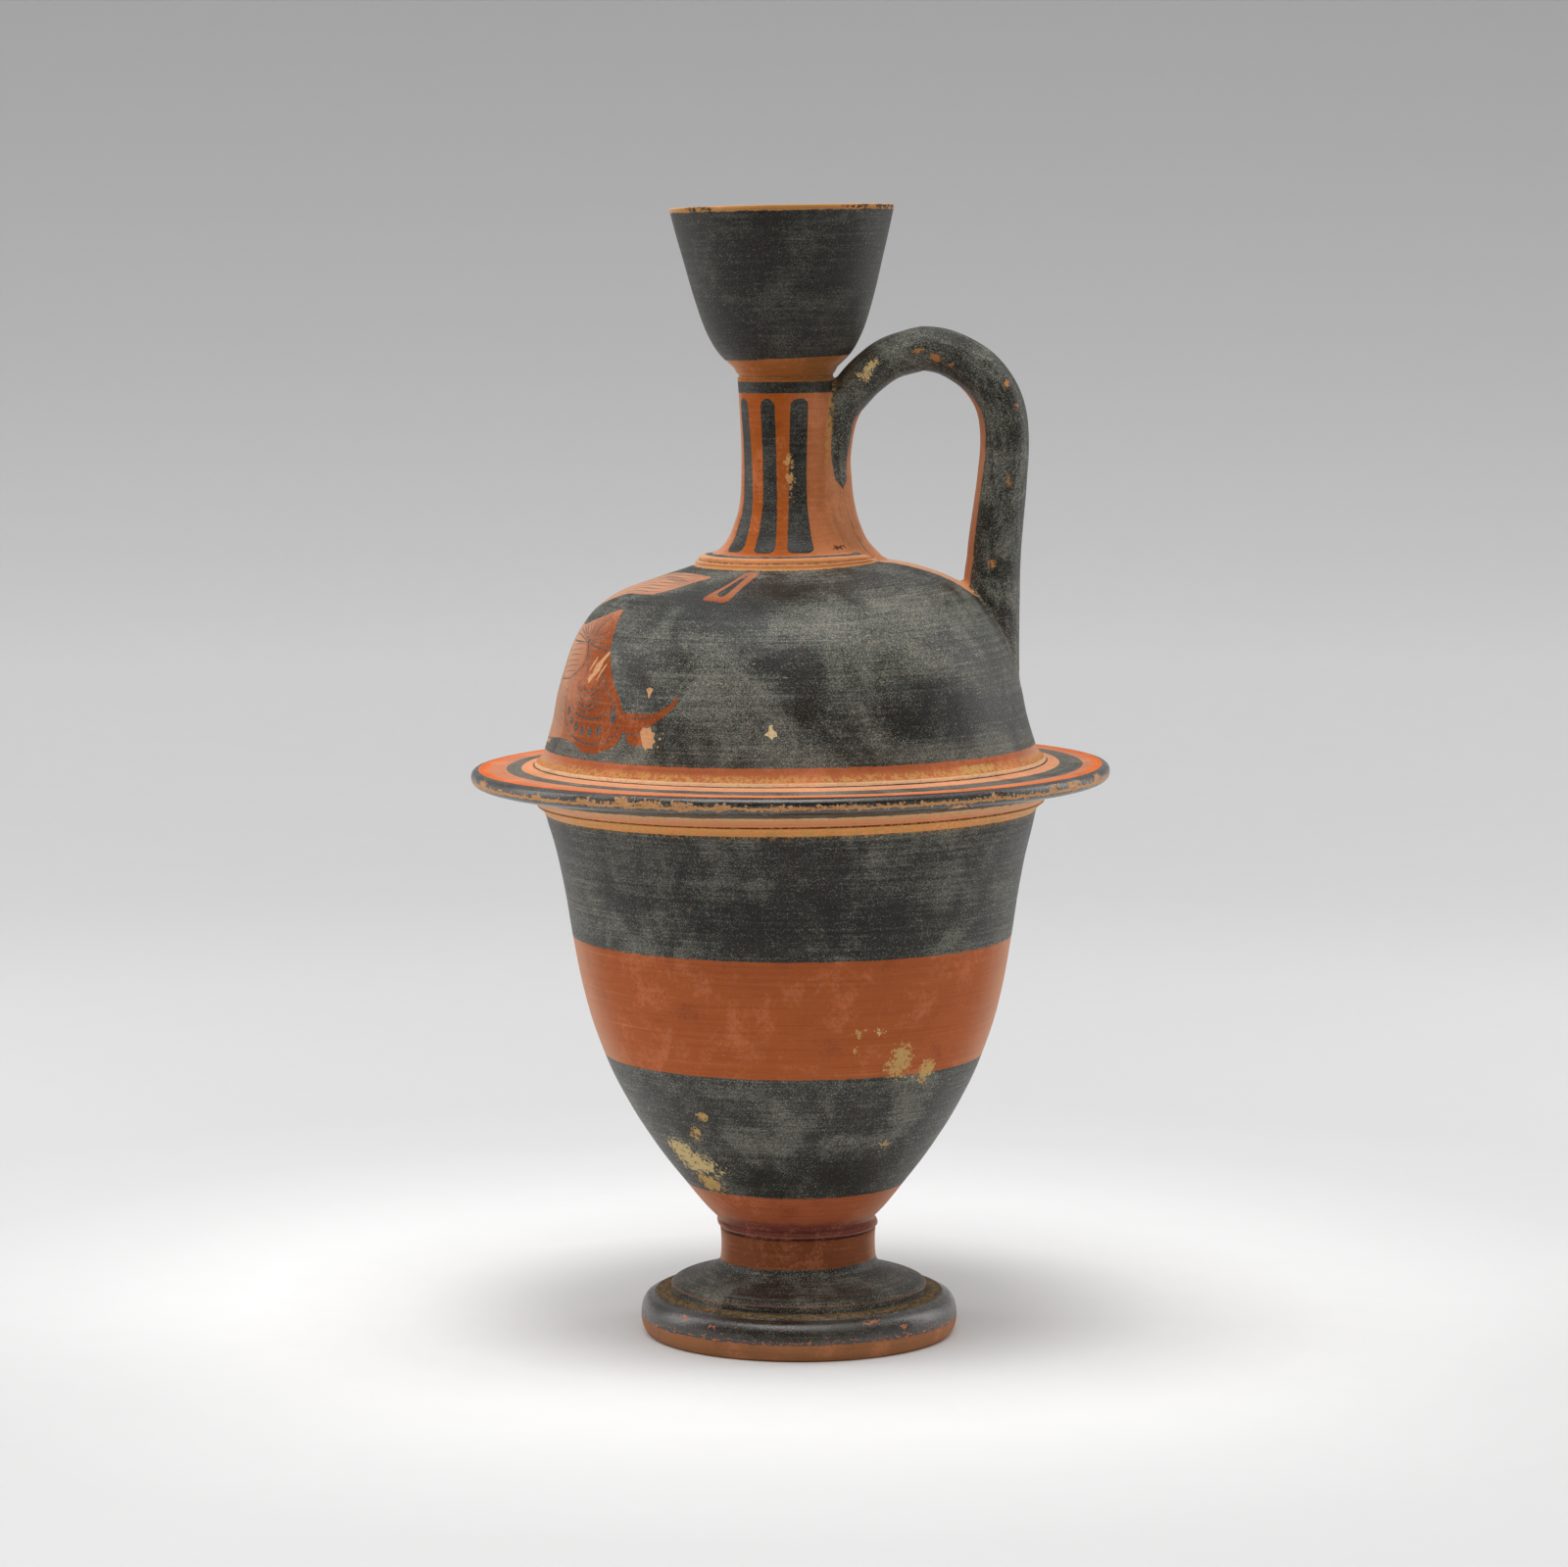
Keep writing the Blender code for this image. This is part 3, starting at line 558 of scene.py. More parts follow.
def head():
    """A plain head in profile, turned to the left, with its hair in a patterned kerchief."""
    face = (
        (2, 38.4), (-5.5, 37.2), (-8.6, 34.8), (-9.8, 31.5), (-10.6, 27.6), (-10.3, 26.2), (-12.2, 22.6), (-14.4, 18.9),
        (-14, 17.8), (-11.8, 16.6), (-12.2, 15.2), (-12.6, 14.3), (-11.5, 13.2), (-11.4, 12.7), (-12.1, 11.7),
        (-11.6, 10.7), (-10.9, 9.9), (-11.8, 8.3), (-11.3, 6.6), (-9.4, 5.6), (-5.4, 5.4), (-2.4, 4.6), (-1.8, 2.4),
        (9.5, 2.4), (14, 12), (14, 30),
    )
    kerchief = (
        (0, 38), (8, 37.6), (15, 39.4), (22, 42), (29, 44.9), (31.4, 42), (32.6, 39.4), (34.2, 35.4), (35.2, 32.4),
        (36.2, 30.6), (38.2, 26.8), (40.8, 22.3), (43.2, 19.4), (45.4, 16), (46.6, 12.2), (46.4, 7.8), (44.6, 4.8),
        (40, 3), (38.5, 2.4), (32.5, 2.5), (31, 3.5), (26, 5), (17, 5), (9.5, 4.8), (6.5, 11), (7, 20), (5, 30),
        (1.5, 35),
    )
    end = ((45, 14.6), (48, 14.4), (55, 14.7), (60, 17.2), (61.8, 20), (61.6, 17.3), (57.5, 13), (53, 10.3), (47, 9))
    knob = ((48.6, 9.6), (51, 11.4), (53.6, 9.4), (53.9, 6.3), (50.6, 5.6), (48.4, 7))
    shapes = [area(FIGURE, face, rounded=False), area(FIGURE, kerchief), area(FIGURE, end), area(FIGURE, knob)]
    shapes += brushed(
        (((1.4, 38), (3.4, 34.6), (5.6, 29.5), (7.6, 20.5), (7.2, 11), (9.4, 5.2)), 0.8),
        (((-8.8, 34.9), (-3, 36.2), (2.6, 34.8)), 0.5), (((-9.4, 32.6), (-3.4, 33.7), (3.6, 32.2)), 0.5),
        (((-9.2, 30), (-3.6, 30.6), (5, 29.2)), 0.5), (((-5.6, 28.6), (-2.4, 27.6), (4.8, 26.4)), 0.5),
    )
    shapes.append(area(LINE, (
        (-9.4, 34.6), (-9.9, 31.8), (-7.4, 28.9), (-2.6, 27.4), (-1.2, 24.8), (0.2, 20.4), (2.6, 20.6), (2.2, 26.6),
        (-0.6, 29.2), (-5.4, 31), (-7.6, 33.6),
    )))
    shapes += brushed(
        (((-10, 27.1), (-7.8, 28), (-4.6, 27)), 0.6), (((-9.4, 24.6), (-7.2, 25.4), (-5, 24)), 0.55),
        (((-9.2, 23.6), (-7.2, 23), (-5.4, 23.6)), 0.4),
    )
    shapes.append(disc(LINE, (-7.6, 24.2), 0.55))
    shapes += brushed(
        (((-12.6, 17), (-11.9, 17.9), (-11.2, 17.2)), 0.4), (((-12, 13), (-10.6, 12.8), (-9.6, 13.1)), 0.45),
        (((-9.4, 5.7), (-4.6, 7.6), (0.2, 12.6), (1.8, 17.8)), 0.5),
        (((1, 17.2), (0.4, 15.6), (1.8, 14.6), (3, 15.9), (2.2, 17.4)), 0.45),
    )
    shapes.append(disc(CREAM, (1.5, 12.6), 0.9))
    shapes += brushed((((-1.9, 4.4), (3.6, 3.6), (9, 4.2)), 0.5))
    for k in range(6):
        shapes.append(disc(CREAM, (-1 + 1.9 * k, 2.95 + 0.05 * (k - 2.5) ** 2), 0.42))
    return shapes + kerchief_pattern()


# Where the kerchief is gathered, and the edge that its folds fan out to
KNOT = (22, 33.2)
FAN_EDGE = (
    (5, 34.6), (8, 37), (15, 38.9), (22, 41.5), (28.4, 44.2), (30.9, 41.6), (32.2, 38.8), (33.8, 35.2), (34.8, 32.6),
)
FAN_FOLDS = 15


def kerchief_pattern():
    """Seams, nested scallops, drops, beads and gathered folds on the kerchief."""
    shapes = [
        area(PALE, ((4.5, 33), (12, 34.4), (20, 32.8), (23.6, 28), (18.5, 23.6), (9, 21.8), (7.4, 26))),
        area(PALE, ((8, 20.4), (16.6, 21.2), (17.6, 14), (19.4, 8.5), (19, 5.4), (10, 5.2), (7.6, 11))),
    ]
    shapes += brushed(
        (((35.2, 30.6), (33.8, 26.3), (37.6, 21.8), (42, 17.1), (44.4, 14.4)), 0.5),
        ((KNOT, (25, 27.7), (18, 22.4), (8, 21)), 0.55),
        ((KNOT, (28.6, 31.8), (35.4, 31.2)), 0.5),
        ((KNOT, (26, 28.6), (27.4, 24.6), (26, 21.6)), 0.5),
        (((21.6, 33), (14, 32.6), (6, 32.4)), 0.45),
        (((48, 13), (53, 13.2), (58, 15.6)), 0.35),
        (((48.2, 9), (50.4, 8.6), (52.8, 8.8)), 0.35),
        (((17.2, 22), (18.6, 14.6), (21.6, 9.2), (27.5, 6.2), (35.5, 4.9), (42.6, 6.6), (45.4, 11)), 0.5),
        (((20.4, 22.6), (21.6, 17.6), (25.2, 13.6), (30.5, 11.9), (36.6, 12), (41.2, 14.6), (42.2, 17)), 0.45),
    )
    shapes.append(disc(LINE, KNOT, 0.9))
    for k in range(5):
        q = 21 - 1.5 * k
        low = 24.2 + 0.1 * k
        arc = (
            (low, q + 2.4), (low + 2.2, q - 0.2), (low + 6, q - 1.6), (low + 9.8, q - 0.4),
            (low + 11.6 + 0.6 * k, q + 2.4),
        )
        shapes.append(stroke(LINE, arc, 0.42))
    for p, q in ((22, 13.2), (24.4, 10.8), (27.6, 9.2), (31, 8.4), (34.6, 8.3), (38.2, 9)):
        shapes.append(drop(p, q, 2.1, 3.1))
    shapes.append(drop(42.9, 13.2, 2.4, 4.8))
    for k in range(7):
        shapes.append(disc(LINE, (16.4 + 0.25 * k, 20.6 - 2 * k), 0.36))
    for k in range(6):
        p = 8.9 + 1.3 * k
        shapes.append(stroke(LINE, ((p, 19.8 + 0.2 * k), (p + 0.6, 13), (p + 0.9, 6 + 0.1 * k)), 0.3))
    for k in range(6):
        q = 22.8 + 1.6 * k
        shapes.append(stroke(LINE, ((8.6 - 0.25 * k, q), (14, q + 1), (20.6 - 0.1 * k, q + 1.6)), 0.2))
    for k, (p, q) in enumerate(resampled(np.array(FAN_EDGE), lengths_along(np.array(FAN_EDGE))[-1] / (FAN_FOLDS - 1))):
        start = (KNOT[0] + 0.14 * (p - KNOT[0]), KNOT[1] + 0.14 * (q - KNOT[1]))
        bend = ((start[0] + p) / 2 + 0.5 * math.sin(1.7 * k), (start[1] + q) / 2 + 0.4)
        shapes.append(stroke(LINE, (start, bend, (p, q)), 0.32))
    return shapes


def flakes():
    """Places where the surface has flaked down to the clay, with ragged outlines."""
    return [
        area(TAN, (
            (29.8, 21.4), (31.6, 23.6), (33.6, 25.4), (34.4, 28.2), (36.4, 30.8), (35.4, 31.2), (33, 28.6),
            (31, 26.6), (30.6, 24.6), (28.8, 23),
        ), rounded=False),
        stroke(TAN, (
            (33.4, 22.6), (34.6, 25.2), (36.2, 27.6),
        ), 0.7), stroke(TAN, ((28.6, 25), (30, 27.4), (31, 29.4)), 0.7),
        area(TAN, (
            (52.2, 9.4), (53, 10.8), (54.2, 10.6), (55.2, 11), (55.7, 9.7), (56.7, 9.2), (56.4, 8), (57.1, 7),
            (56.4, 6.3), (56.5, 5.1), (55.4, 5.2), (54.5, 4.6), (53.6, 5.8), (52.9, 7.6),
        ), rounded=False),
        disc(TAN, (58.2, 7.9), 0.4), disc(TAN, (57.9, 5.7), 0.3), disc(TAN, (58.9, 9.4), 0.25),
        area(TAN, ((52.4, 21.4), (53.4, 21.9), (54.6, 21.5), (54.2, 20.4), (53.6, 18.6), (53.2, 20)), rounded=False),
        area(CREAM, (
            (85.2, 12.2), (86, 12.4), (85.9, 11.2), (86.9, 10.3), (87.1, 9.2), (86.2, 9), (85.9, 8.2), (85, 9.2),
            (84, 9.6), (85, 10.6),
        ), rounded=False),
    ]


def picture():
    return [*wing(), *leaf(1), *leaf(-1), *head(), *flakes()]


def lies_within(places, outline):
    """Which places lie inside a closed outline."""
    inside = np.zeros(len(places), bool)
    near = ((places > outline.min(0)) & (places < outline.max(0))).all(1)
    x, y = places[near].T
    held = np.zeros(len(x), bool)
    for (x0, y0), (x1, y1) in zip(outline, np.roll(outline, -1, axis=0)):
        if y0 != y1:
            crosses = ((y0 > y) != (y1 > y)) & (x < (x1 - x0) * (y - y0) / (y1 - y0) + x0)
            held ^= crosses
    inside[near] = held
    return inside


def make_patch():
    """The shoulder's painted part, cut along the picture's outlines: points, faces, paint of each."""
    shapes = picture()
    columns = np.arange(math.ceil(CHART_LOW * DOME_STEPS / 360), math.floor(CHART_HIGH * DOME_STEPS / 360) + 1)
    headings = columns * 360 / DOME_STEPS
    inside = (profile.ring_along > ALONG["dome"] + 0.2) & (profile.ring_along < ALONG["lower_fillet"] - 0.2)
    rows = profile.ring_along[inside]
    left, right = headings[0] * CHART_STRETCH, headings[-1] * CHART_STRETCH
    low, high = rows[0] - ALONG["dome"], rows[-1] - ALONG["dome"]
    coords = [Vector((h * CHART_STRETCH, s - ALONG["dome"])) for s in rows for h in headings]
    left, right, low, high = left + PATCH_MARGIN, right - PATCH_MARGIN, low + PATCH_MARGIN, high - PATCH_MARGIN
    edges = []
    for _, points in shapes:
        first = len(coords)
        for x, y in points:
            coords.append(Vector((min(max(x, left), right), min(max(y, low), high))))
        edges += [(k, k + 1) for k in range(first, len(coords) - 1)] + [(len(coords) - 1, first)]
    places, _, cells, *_ = delaunay_2d_cdt(coords, edges, [], 0, 1e-4, True)
    places = np.array([tuple(c) for c in places])
    cells = [tuple(c) for c in cells]
    middles = np.array([places[list(c)].mean(0) for c in cells])
    paints = np.zeros(len(cells), int)
    for paint, points in shapes:
        paints[lies_within(middles, np.array(points))] = paint
    return places, cells, paints.tolist(), (headings[0], headings[-1], rows[0], rows[-1])


def true_normals(heading, along):
    step = 0.05
    r, _ = profile.place(along)
    turn = np.degrees(step / np.maximum(r, 1))
    across = pot_points(heading + turn, along) - pot_points(heading - turn, along)
    up = pot_points(heading, along + step) - pot_points(heading, along - step)
    normal = np.cross(across, up)
    return normal / np.linalg.norm(normal, axis=1)[:, None]


def read_mesh(mesh):
    points = np.empty(len(mesh.vertices) * 3)
    mesh.vertices.foreach_get("co", points)
    faces = [tuple(p.vertices) for p in mesh.polygons]
    return points.reshape(-1, 3) / MM, faces, [p.material_index for p in mesh.polygons]


def chart_of(points):
    """Heading and distance along the profile of points on the pot."""
    true = unsettled(points)
    heading = np.degrees(np.arctan2(-true[:, 1], -true[:, 0]))
    along = np.array([profile.at(math.hypot(x, y), z) for x, y, z in true])
    return true, heading, along


def softened(points, faces, kinds):
    """The join of handle and pot smoothed over, and how far every point lies from it."""
    pot, handle = np.zeros(len(points), bool), np.zeros(len(points), bool)
    for face, kind in zip(faces, kinds):
        (handle if kind else pot)[list(face)] = True
    seam = np.where(pot & handle)[0]
    tree = tree_of(points[seam])
    far = np.array([tree.find(p)[2] for p in points])
    pairs = {(min(a, b), max(a, b)) for f in faces for a, b in zip(f, f[1:] + f[:1]) if far[a] < SEAM_REACH * 2}
    pairs = np.array(sorted(pairs))
    hold = smooth_step(1 - far / SEAM_REACH)[:, None] * 0.6
    links = np.zeros(len(points))
    np.add.at(links, pairs[:, 0], 1)
    np.add.at(links, pairs[:, 1], 1)
    for _ in range(SEAM_ROUNDS):
        total = np.zeros_like(points)
        np.add.at(total, pairs[:, 0], points[pairs[:, 1]])
        np.add.at(total, pairs[:, 1], points[pairs[:, 0]])
        mean = np.where(links[:, None] > 0, total / np.maximum(links, 1)[:, None], points)
        points = points + (mean - points) * hold
    return points, far


def add_values(mesh, name, kind, domain, values):
    layer = mesh.attributes.new(name, kind, domain)
    layer.data.foreach_set("vector" if kind == "FLOAT_VECTOR" else "value", np.ravel(values).astype(np.float32))


def make_lekythos(materials):
    pot, handle, trimmer = make_pot(), make_rod(), make_trimmer()
    for obj in (pot, handle):
        for material in materials:
            obj.data.materials.append(material)
    handle.data.polygons.foreach_set("material_index", [1] * len(handle.data.polygons))
    boolean(handle, trimmer, "DIFFERENCE")
    boolean(pot, handle, "UNION")
    points, faces, kinds = read_mesh(pot.data)
    bpy.data.objects.remove(pot, do_unlink=True)
    points, far = softened(points, faces, kinds)

    middles = np.array([points[list(f)].mean(0) for f in faces])
    true, heading, along = chart_of(middles)
    places, cells, paint, (left, right, low, high) = make_patch()
    radius = np.hypot(true[:, 0], true[:, 1])
    skin = np.abs(radius - profile.place(along)[0]) < 1
    cut = (heading > left) & (heading < right) & (along > low) & (along < high) & skin
    kept = [f for f, gone in zip(faces, cut) if not gone]
    kinds = [k for k, gone in zip(kinds, cut) if not gone]

    patch_heading, patch_along = places[:, 0] / CHART_STRETCH, places[:, 1] + ALONG["dome"]
    patch_points = pot_points(patch_heading, patch_along)
    tree = tree_of(points)
    index = np.arange(len(places)) + len(points)
    edge = (np.abs(patch_heading - left) < 1e-3) | (np.abs(patch_heading - right) < 1e-3)
    edge |= (np.abs(patch_along - low) < 1e-3) | (np.abs(patch_along - high) < 1e-3)
    for i in np.where(edge)[0]:
        _, found, off = tree.find(patch_points[i])
        if off > 0.02:
            raise ValueError(f"the picture's edge misses the pot by {off:.3f} mm")
        index[i] = found
    faces = kept + [tuple(int(index[c]) for c in cell) for cell in cells]
    kinds = kinds + [0] * len(cells)
    paints = [0] * len(kept) + paint
    points = np.vstack([points, patch_points])
    far = np.concatenate([far, np.full(len(places), 99)])
    normals = np.vstack([np.zeros((len(points) - len(places), 3)), true_normals(patch_heading, patch_along)])
    used = np.zeros(len(points), bool)
    for f in faces:
        used[list(f)] = True
    place_of = np.cumsum(used) - 1
    faces = [tuple(int(place_of[i]) for i in f) for f in faces]
    points, far, normals = points[used], far[used], normals[used]

    obj = new_object("lekythos_pot", points, faces)
    mesh = obj.data
    for material in materials:
        mesh.materials.append(material)
    mesh.polygons.foreach_set("material_index", kinds)
    true, _, along = chart_of(points)
    add_values(mesh, "turned", "FLOAT_VECTOR", "POINT", true)
    add_values(mesh, "along", "FLOAT", "POINT", along)
    add_values(mesh, "seam", "FLOAT", "POINT", far)
    add_values(mesh, "paint", "FLOAT", "FACE", paints)
    add_values(mesh, "rod", "FLOAT_VECTOR", "POINT", rod_places(points))
    mesh.shade_smooth()
    mesh.set_sharp_from_angle(angle=math.radians(50))
    mesh.normals_split_custom_set_from_vertices(normals.tolist())
    return obj


def rod_places(points):
    """Distance along the handle, and how far out of the loop and across it each point lies."""
    rows = []
    for x, y, z in points:
        x = x - float(axis_shift(np.array(z)))
        _, i, _ = rod.tree.find((x, 0, z))
        off = np.array((x, z)) - rod.centre[i]
        rows.append((rod.along[i] + off @ rod.way[i], off @ rod.out[i], y))
    return np.array(rows)


def linear(rgb):
    """A colour seen as these screen values, as the shader takes it."""
    shares = [v / 255 for v in rgb]
    return tuple(v / 12.92 if v <= 0.04045 else ((v + 0.055) / 1.055) ** 2.4 for v in shares) + (1,)


class Value:
    """What a node gives out, which can be added to, multiplied and so on."""

    def __init__(self, nodes, socket):
        self.nodes, self.socket = nodes, socket

    def __add__(self, other):
        return self.nodes.math("ADD", self, other)

    def __sub__(self, other):
        return self.nodes.math("SUBTRACT", self, other)

    def __rsub__(self, other):
        return self.nodes.math("SUBTRACT", other, self)

    def __mul__(self, other):
        return self.nodes.math("MULTIPLY", self, other)

    def __abs__(self):
        return self.nodes.math("ABSOLUTE", self)

    __radd__, __rmul__ = __add__, __mul__


class Nodes:
    """A material's node tree, with short ways to add to it. Colours of three numbers are screen values."""

    def __init__(self, name):
        self.material = bpy.data.materials.new(name)
        self.material.use_nodes = True
        self.tree = self.material.node_tree
        self.shader = self.tree.nodes["Principled BSDF"]

    def put(self, socket, value):
        if isinstance(value, Value):
            self.tree.links.new(value.socket, socket)
        elif socket.type == "RGBA" and len(value) == 3:
            socket.default_value = linear(value)
        else:
            socket.default_value = value

    def add(self, kind, inputs=(), output=0, **settings):
        """What a new node gives out, with its first inputs, or those with the keys given, filled in."""
        node = self.tree.nodes.new(kind)
        for key, value in settings.items():
            setattr(node, key, value)
        for key, value in inputs.items() if isinstance(inputs, dict) else enumerate(inputs):
            self.put(node.inputs[key], value)
        return Value(self, node.outputs[output])

    def shaded(self, **inputs):
        """The material, with these inputs of its shader filled in."""
        for name, value in inputs.items():
            self.put(self.shader.inputs[name.replace("_", " ")], value)
        return self.material

    def math(self, operation, *values):
        return self.add("ShaderNodeMath", values, operation=operation)

    def vector(self, operation, *values):
        return self.add("ShaderNodeVectorMath", values, int(operation == "LENGTH"), operation=operation)

    def attribute(self, name, output="Fac"):
        return self.add("ShaderNodeAttribute", output=output, attribute_name=name)

    def split(self, vector):
        node = self.add("ShaderNodeSeparateXYZ", (vector,)).socket.node
        return [Value(self, socket) for socket in node.outputs]

    def join(self, x, y, z):
        return self.add("ShaderNodeCombineXYZ", (x, y, z))

    def noise(self, vector, scale, detail, roughness, distortion=0):
        given = {"Vector": vector, "Scale": scale, "Detail": detail, "Roughness": roughness, "Distortion": distortion}
        return self.add("ShaderNodeTexNoise", given)

    def step(self, value, low, high, to_low=0, to_high=1):
        """A smooth rise from to_low to to_high as the value goes from low to high."""
        given = (value, low, high, to_low, to_high)
        return self.add("ShaderNodeMapRange", given, interpolation_type="SMOOTHSTEP")

    def mix(self, share, a, b):
        """Colour a where the share is 0, b where it is 1. A b of four numbers multiplies a instead."""
        blend_type = "MULTIPLY" if isinstance(b, tuple) and len(b) == 4 else "MIX"
        return self.add("ShaderNodeMix", {0: share, 6: a, 7: b}, 2, data_type="RGBA", blend_type=blend_type)

    def layers(self, colour, rows):
        """Tones over a colour. Each row says where, the noise and the values at which the tone is
        absent and full, how strong it is, and the tone."""
        for where, noise, none, full, share, tone in rows:
            colour = self.mix(where * self.step(noise, none, full) * share, colour, tone)
        return colour

    def most(self, first, *others, operation="MAXIMUM"):
        for other in others:
            first = self.math(operation, first, other)
        return first

    def least(self, *values):
        return self.most(*values, operation="MINIMUM")

    def spots(self, vector, ellipses, softness, ragged=0):
        """1 within any of the ellipses, each a middle and a width and a height on the chart, 0 beyond.
        What ragged holds moves their edges in or out."""
        nearest = 9
        for centre, (width, height) in ellipses:
            off = self.vector("SUBTRACT", vector, (*centre, 0))
            size = self.vector("LENGTH", self.vector("MULTIPLY", off, (2 / width, 2 / height, 0)))
            nearest = self.least(nearest, size)
        return self.step(nearest + ragged, 1 - softness, 1 + softness, 1, 0)


def blend(share, a, b):
    """Value a where the share is 0, b where it is 1."""
    return share * (b - a) + a


# Tones of the clay and of what is painted on it, as screen colours
TONES = {
    "clay": (160, 104, 62), "black": (36, 35, 31), "foot_black": (36, 23, 11),
    "ledge": (66, 54, 32), "edge_brown": (104, 66, 40), "stem": (132, 70, 34), "dark_line": (76, 38, 24),
    "cone_low": (118, 58, 46), "cone": (168, 88, 50), "band": (176, 90, 42), "ochre": (228, 148, 86),
    "groove": (128, 62, 38), "moulding": (214, 136, 92), "pale_line": (214, 172, 128), "underlip": (66, 58, 48),
    "tan": (208, 150, 92), "lip": (46, 39, 30), "outer_ring": (226, 108, 38), "pink_ring": (204, 132, 98),
    "dark_ring": (100, 98, 90), "salmon": (218, 152, 112), "ridge": (226, 186, 144), "fillet": (180, 100, 58),
    "dome_low": (70, 66, 57), "dome": (46, 47, 44), "fillets": (206, 134, 82), "ring_grey": (98, 96, 88),
    "neck": (172, 84, 10), "neck_black": (38, 34, 27), "under_mouth": (168, 98, 42), "mouth_black": (25, 24, 19),
    "rim": (176, 124, 66), "mouth": (35, 33, 28), "figure": (148, 68, 14), "pale": (168, 98, 60),
    "line": (42, 37, 32), "cream": (222, 208, 160), "spot_tan": (208, 158, 112),
}

# What is painted where, from the underside up and over: where it starts (strip, millimetres past
# its start), tone, share of black slip, waviness of its edge, softness of its edge, any slope to +X
ZONES = (
    ("torus", 5.6, "foot_black", 1, 0.35, 0.25),
    ("ledge", 0.3, "ledge", 0.2, 0.25, 0.3),
    ("riser", 0, "foot_black", 1, 0.1, 0.15),
    ("riser", 1.85, "edge_brown", 0.3, 0.15, 0.15),
    ("sweep", 0.1, "foot_black", 1, 0.15, 0.2),
    ("stem", -0.6, "stem", 0, 0.5, 0.4, -0.0175),
    ("joint", 0.3, "dark_line", 0, 0.3, 0.4),
    ("joint", 0.9, "cone_low", 0, 0.3, 0.5),
    ("bowl", 2.4, "cone", 0, 1.6, 3.4),
    ("bowl", 13.6, "black", 1, 0.35, 0.3),
    ("bowl", 57.3, "band", 0, 0.25, 0.35),
    ("bowl", 92.3, "black", 1, 0.25, 0.35),
    ("ochre_band", 0.1, "ochre", 0, 0.2, 0.2),
    ("groove", 0.3, "groove", 0, 0.1, 0.2),
    ("groove", 0.75, "moulding", 0, 0.1, 0.2),
    ("underlip", -0.2, "pale_line", 0, 0.1, 0.12),
    ("underlip", 0.35, "underlip", 1, 0.4, 0.2),
    ("lip", 3.7, "tan", 0, 0.7, 0.15),
    ("lip", 4.5, "lip", 1, 0.9, 0.15),
    ("outer_ring", -0.2, "outer_ring", 0, 0.2, 0.25),
    ("outer_ring", 2.6, "pink_ring", 0, 0.2, 3.4),
    ("dark_ring", -0.1, "dark_ring", 0.75, 0.2, 0.5, 0.015),
    ("salmon_ring", 0, "salmon", 0, 0.15, 0.25),
    ("ridge", -0.25, "dark_line", 0.2, 0.1, 0.15),
    ("ridge", 0.15, "ridge", 0, 0.1, 0.2),
    ("ridge", 1.3, "fillet", 0, 0.25, 0.6),
    ("dome", 0.4, "dome_low", 1, 0.3, 0.3),
    ("dome", 5, "dome", 1, 1, 4),
    ("lower_fillet", -0.1, "fillets", 0, 0.25, 0.15),
    ("upper_fillet", -0.4, "dark_line", 0.1, 0.1, 0.15),
    ("upper_fillet", 0.2, "fillets", 0, 0.1, 0.15),
    ("neck", -0.3, "ring_grey", 1, 0.15, 0.2),
    ("neck", 1.6, "neck", 0, 0.25, 0.25),
    ("neck_groove", -4.2, "neck_black", 1, 0.2, 0.25),
    ("neck_groove", -1, "under_mouth", 0, 0.2, 0.25),
    ("mouth", 5.7, "mouth_black", 1, 0.3, 0.3, -0.054),
    ("rim", -0.7, "rim", 0, 0.5, 0.2),
    ("mouth_inside", 0.4, "mouth", 1, 0.3, 0.3),
    ("bore", 6, "clay", 0, 0.5, 1),
)

# The picture's paints: tone, share of black slip
PAINTS = {FIGURE: ("figure", 0), PALE: ("pale", 0), LINE: ("line", 0.8), CREAM: ("cream", 0), TAN: ("spot_tan", 0)}

# The tongues round the neck: heading at the foot, heading at the top, half width in degrees
TONGUES = (
    (101.5, 106.8, 11.4), (69, 66.5, 9.4), (37, 25.5, 9.8), (-12, -14.5, 9.2), (-52, -54, 9.6), (-92, -95, 9.2),
)
# Their ends in millimetres past the neck's start, and the radius of their corners
TONGUE_ENDS = (3.6, 47.8)
TONGUE_CORNER = 2.3

# Patches of painted sheen, where the slip is made paler, and of painted shade, where it is made
# darker: heading, strip, millimetres past the strip's start, length round the pot, height
SHEEN_PATCHES = ((112, "dome", 38, 60, 34), (74, "dome", 22, 34, 24))
SHADE_PATCHES = (
    (88, "bowl", 25, 60, 14), (43, "dome", 47, 26, 14), (91, "dome", 31, 20, 18), (72, "dome", 52, 56, 26),
    (128, "dome", 14, 34, 20), (90, "bowl", 104, 70, 14),
)

# Where soil is held in specks: strip, millimetres past its start, reach to either side
SOIL = (
    ("lower_fillet", 0, 0.9), ("upper_fillet", -0.1, 0.8), ("neck_groove", 0.4, 0.3), ("ochre_band", 2, 4),
    ("moulding", 4, 4.4), ("ledge", 2.4, 3), ("fillet", 0.8, 2.2),
)

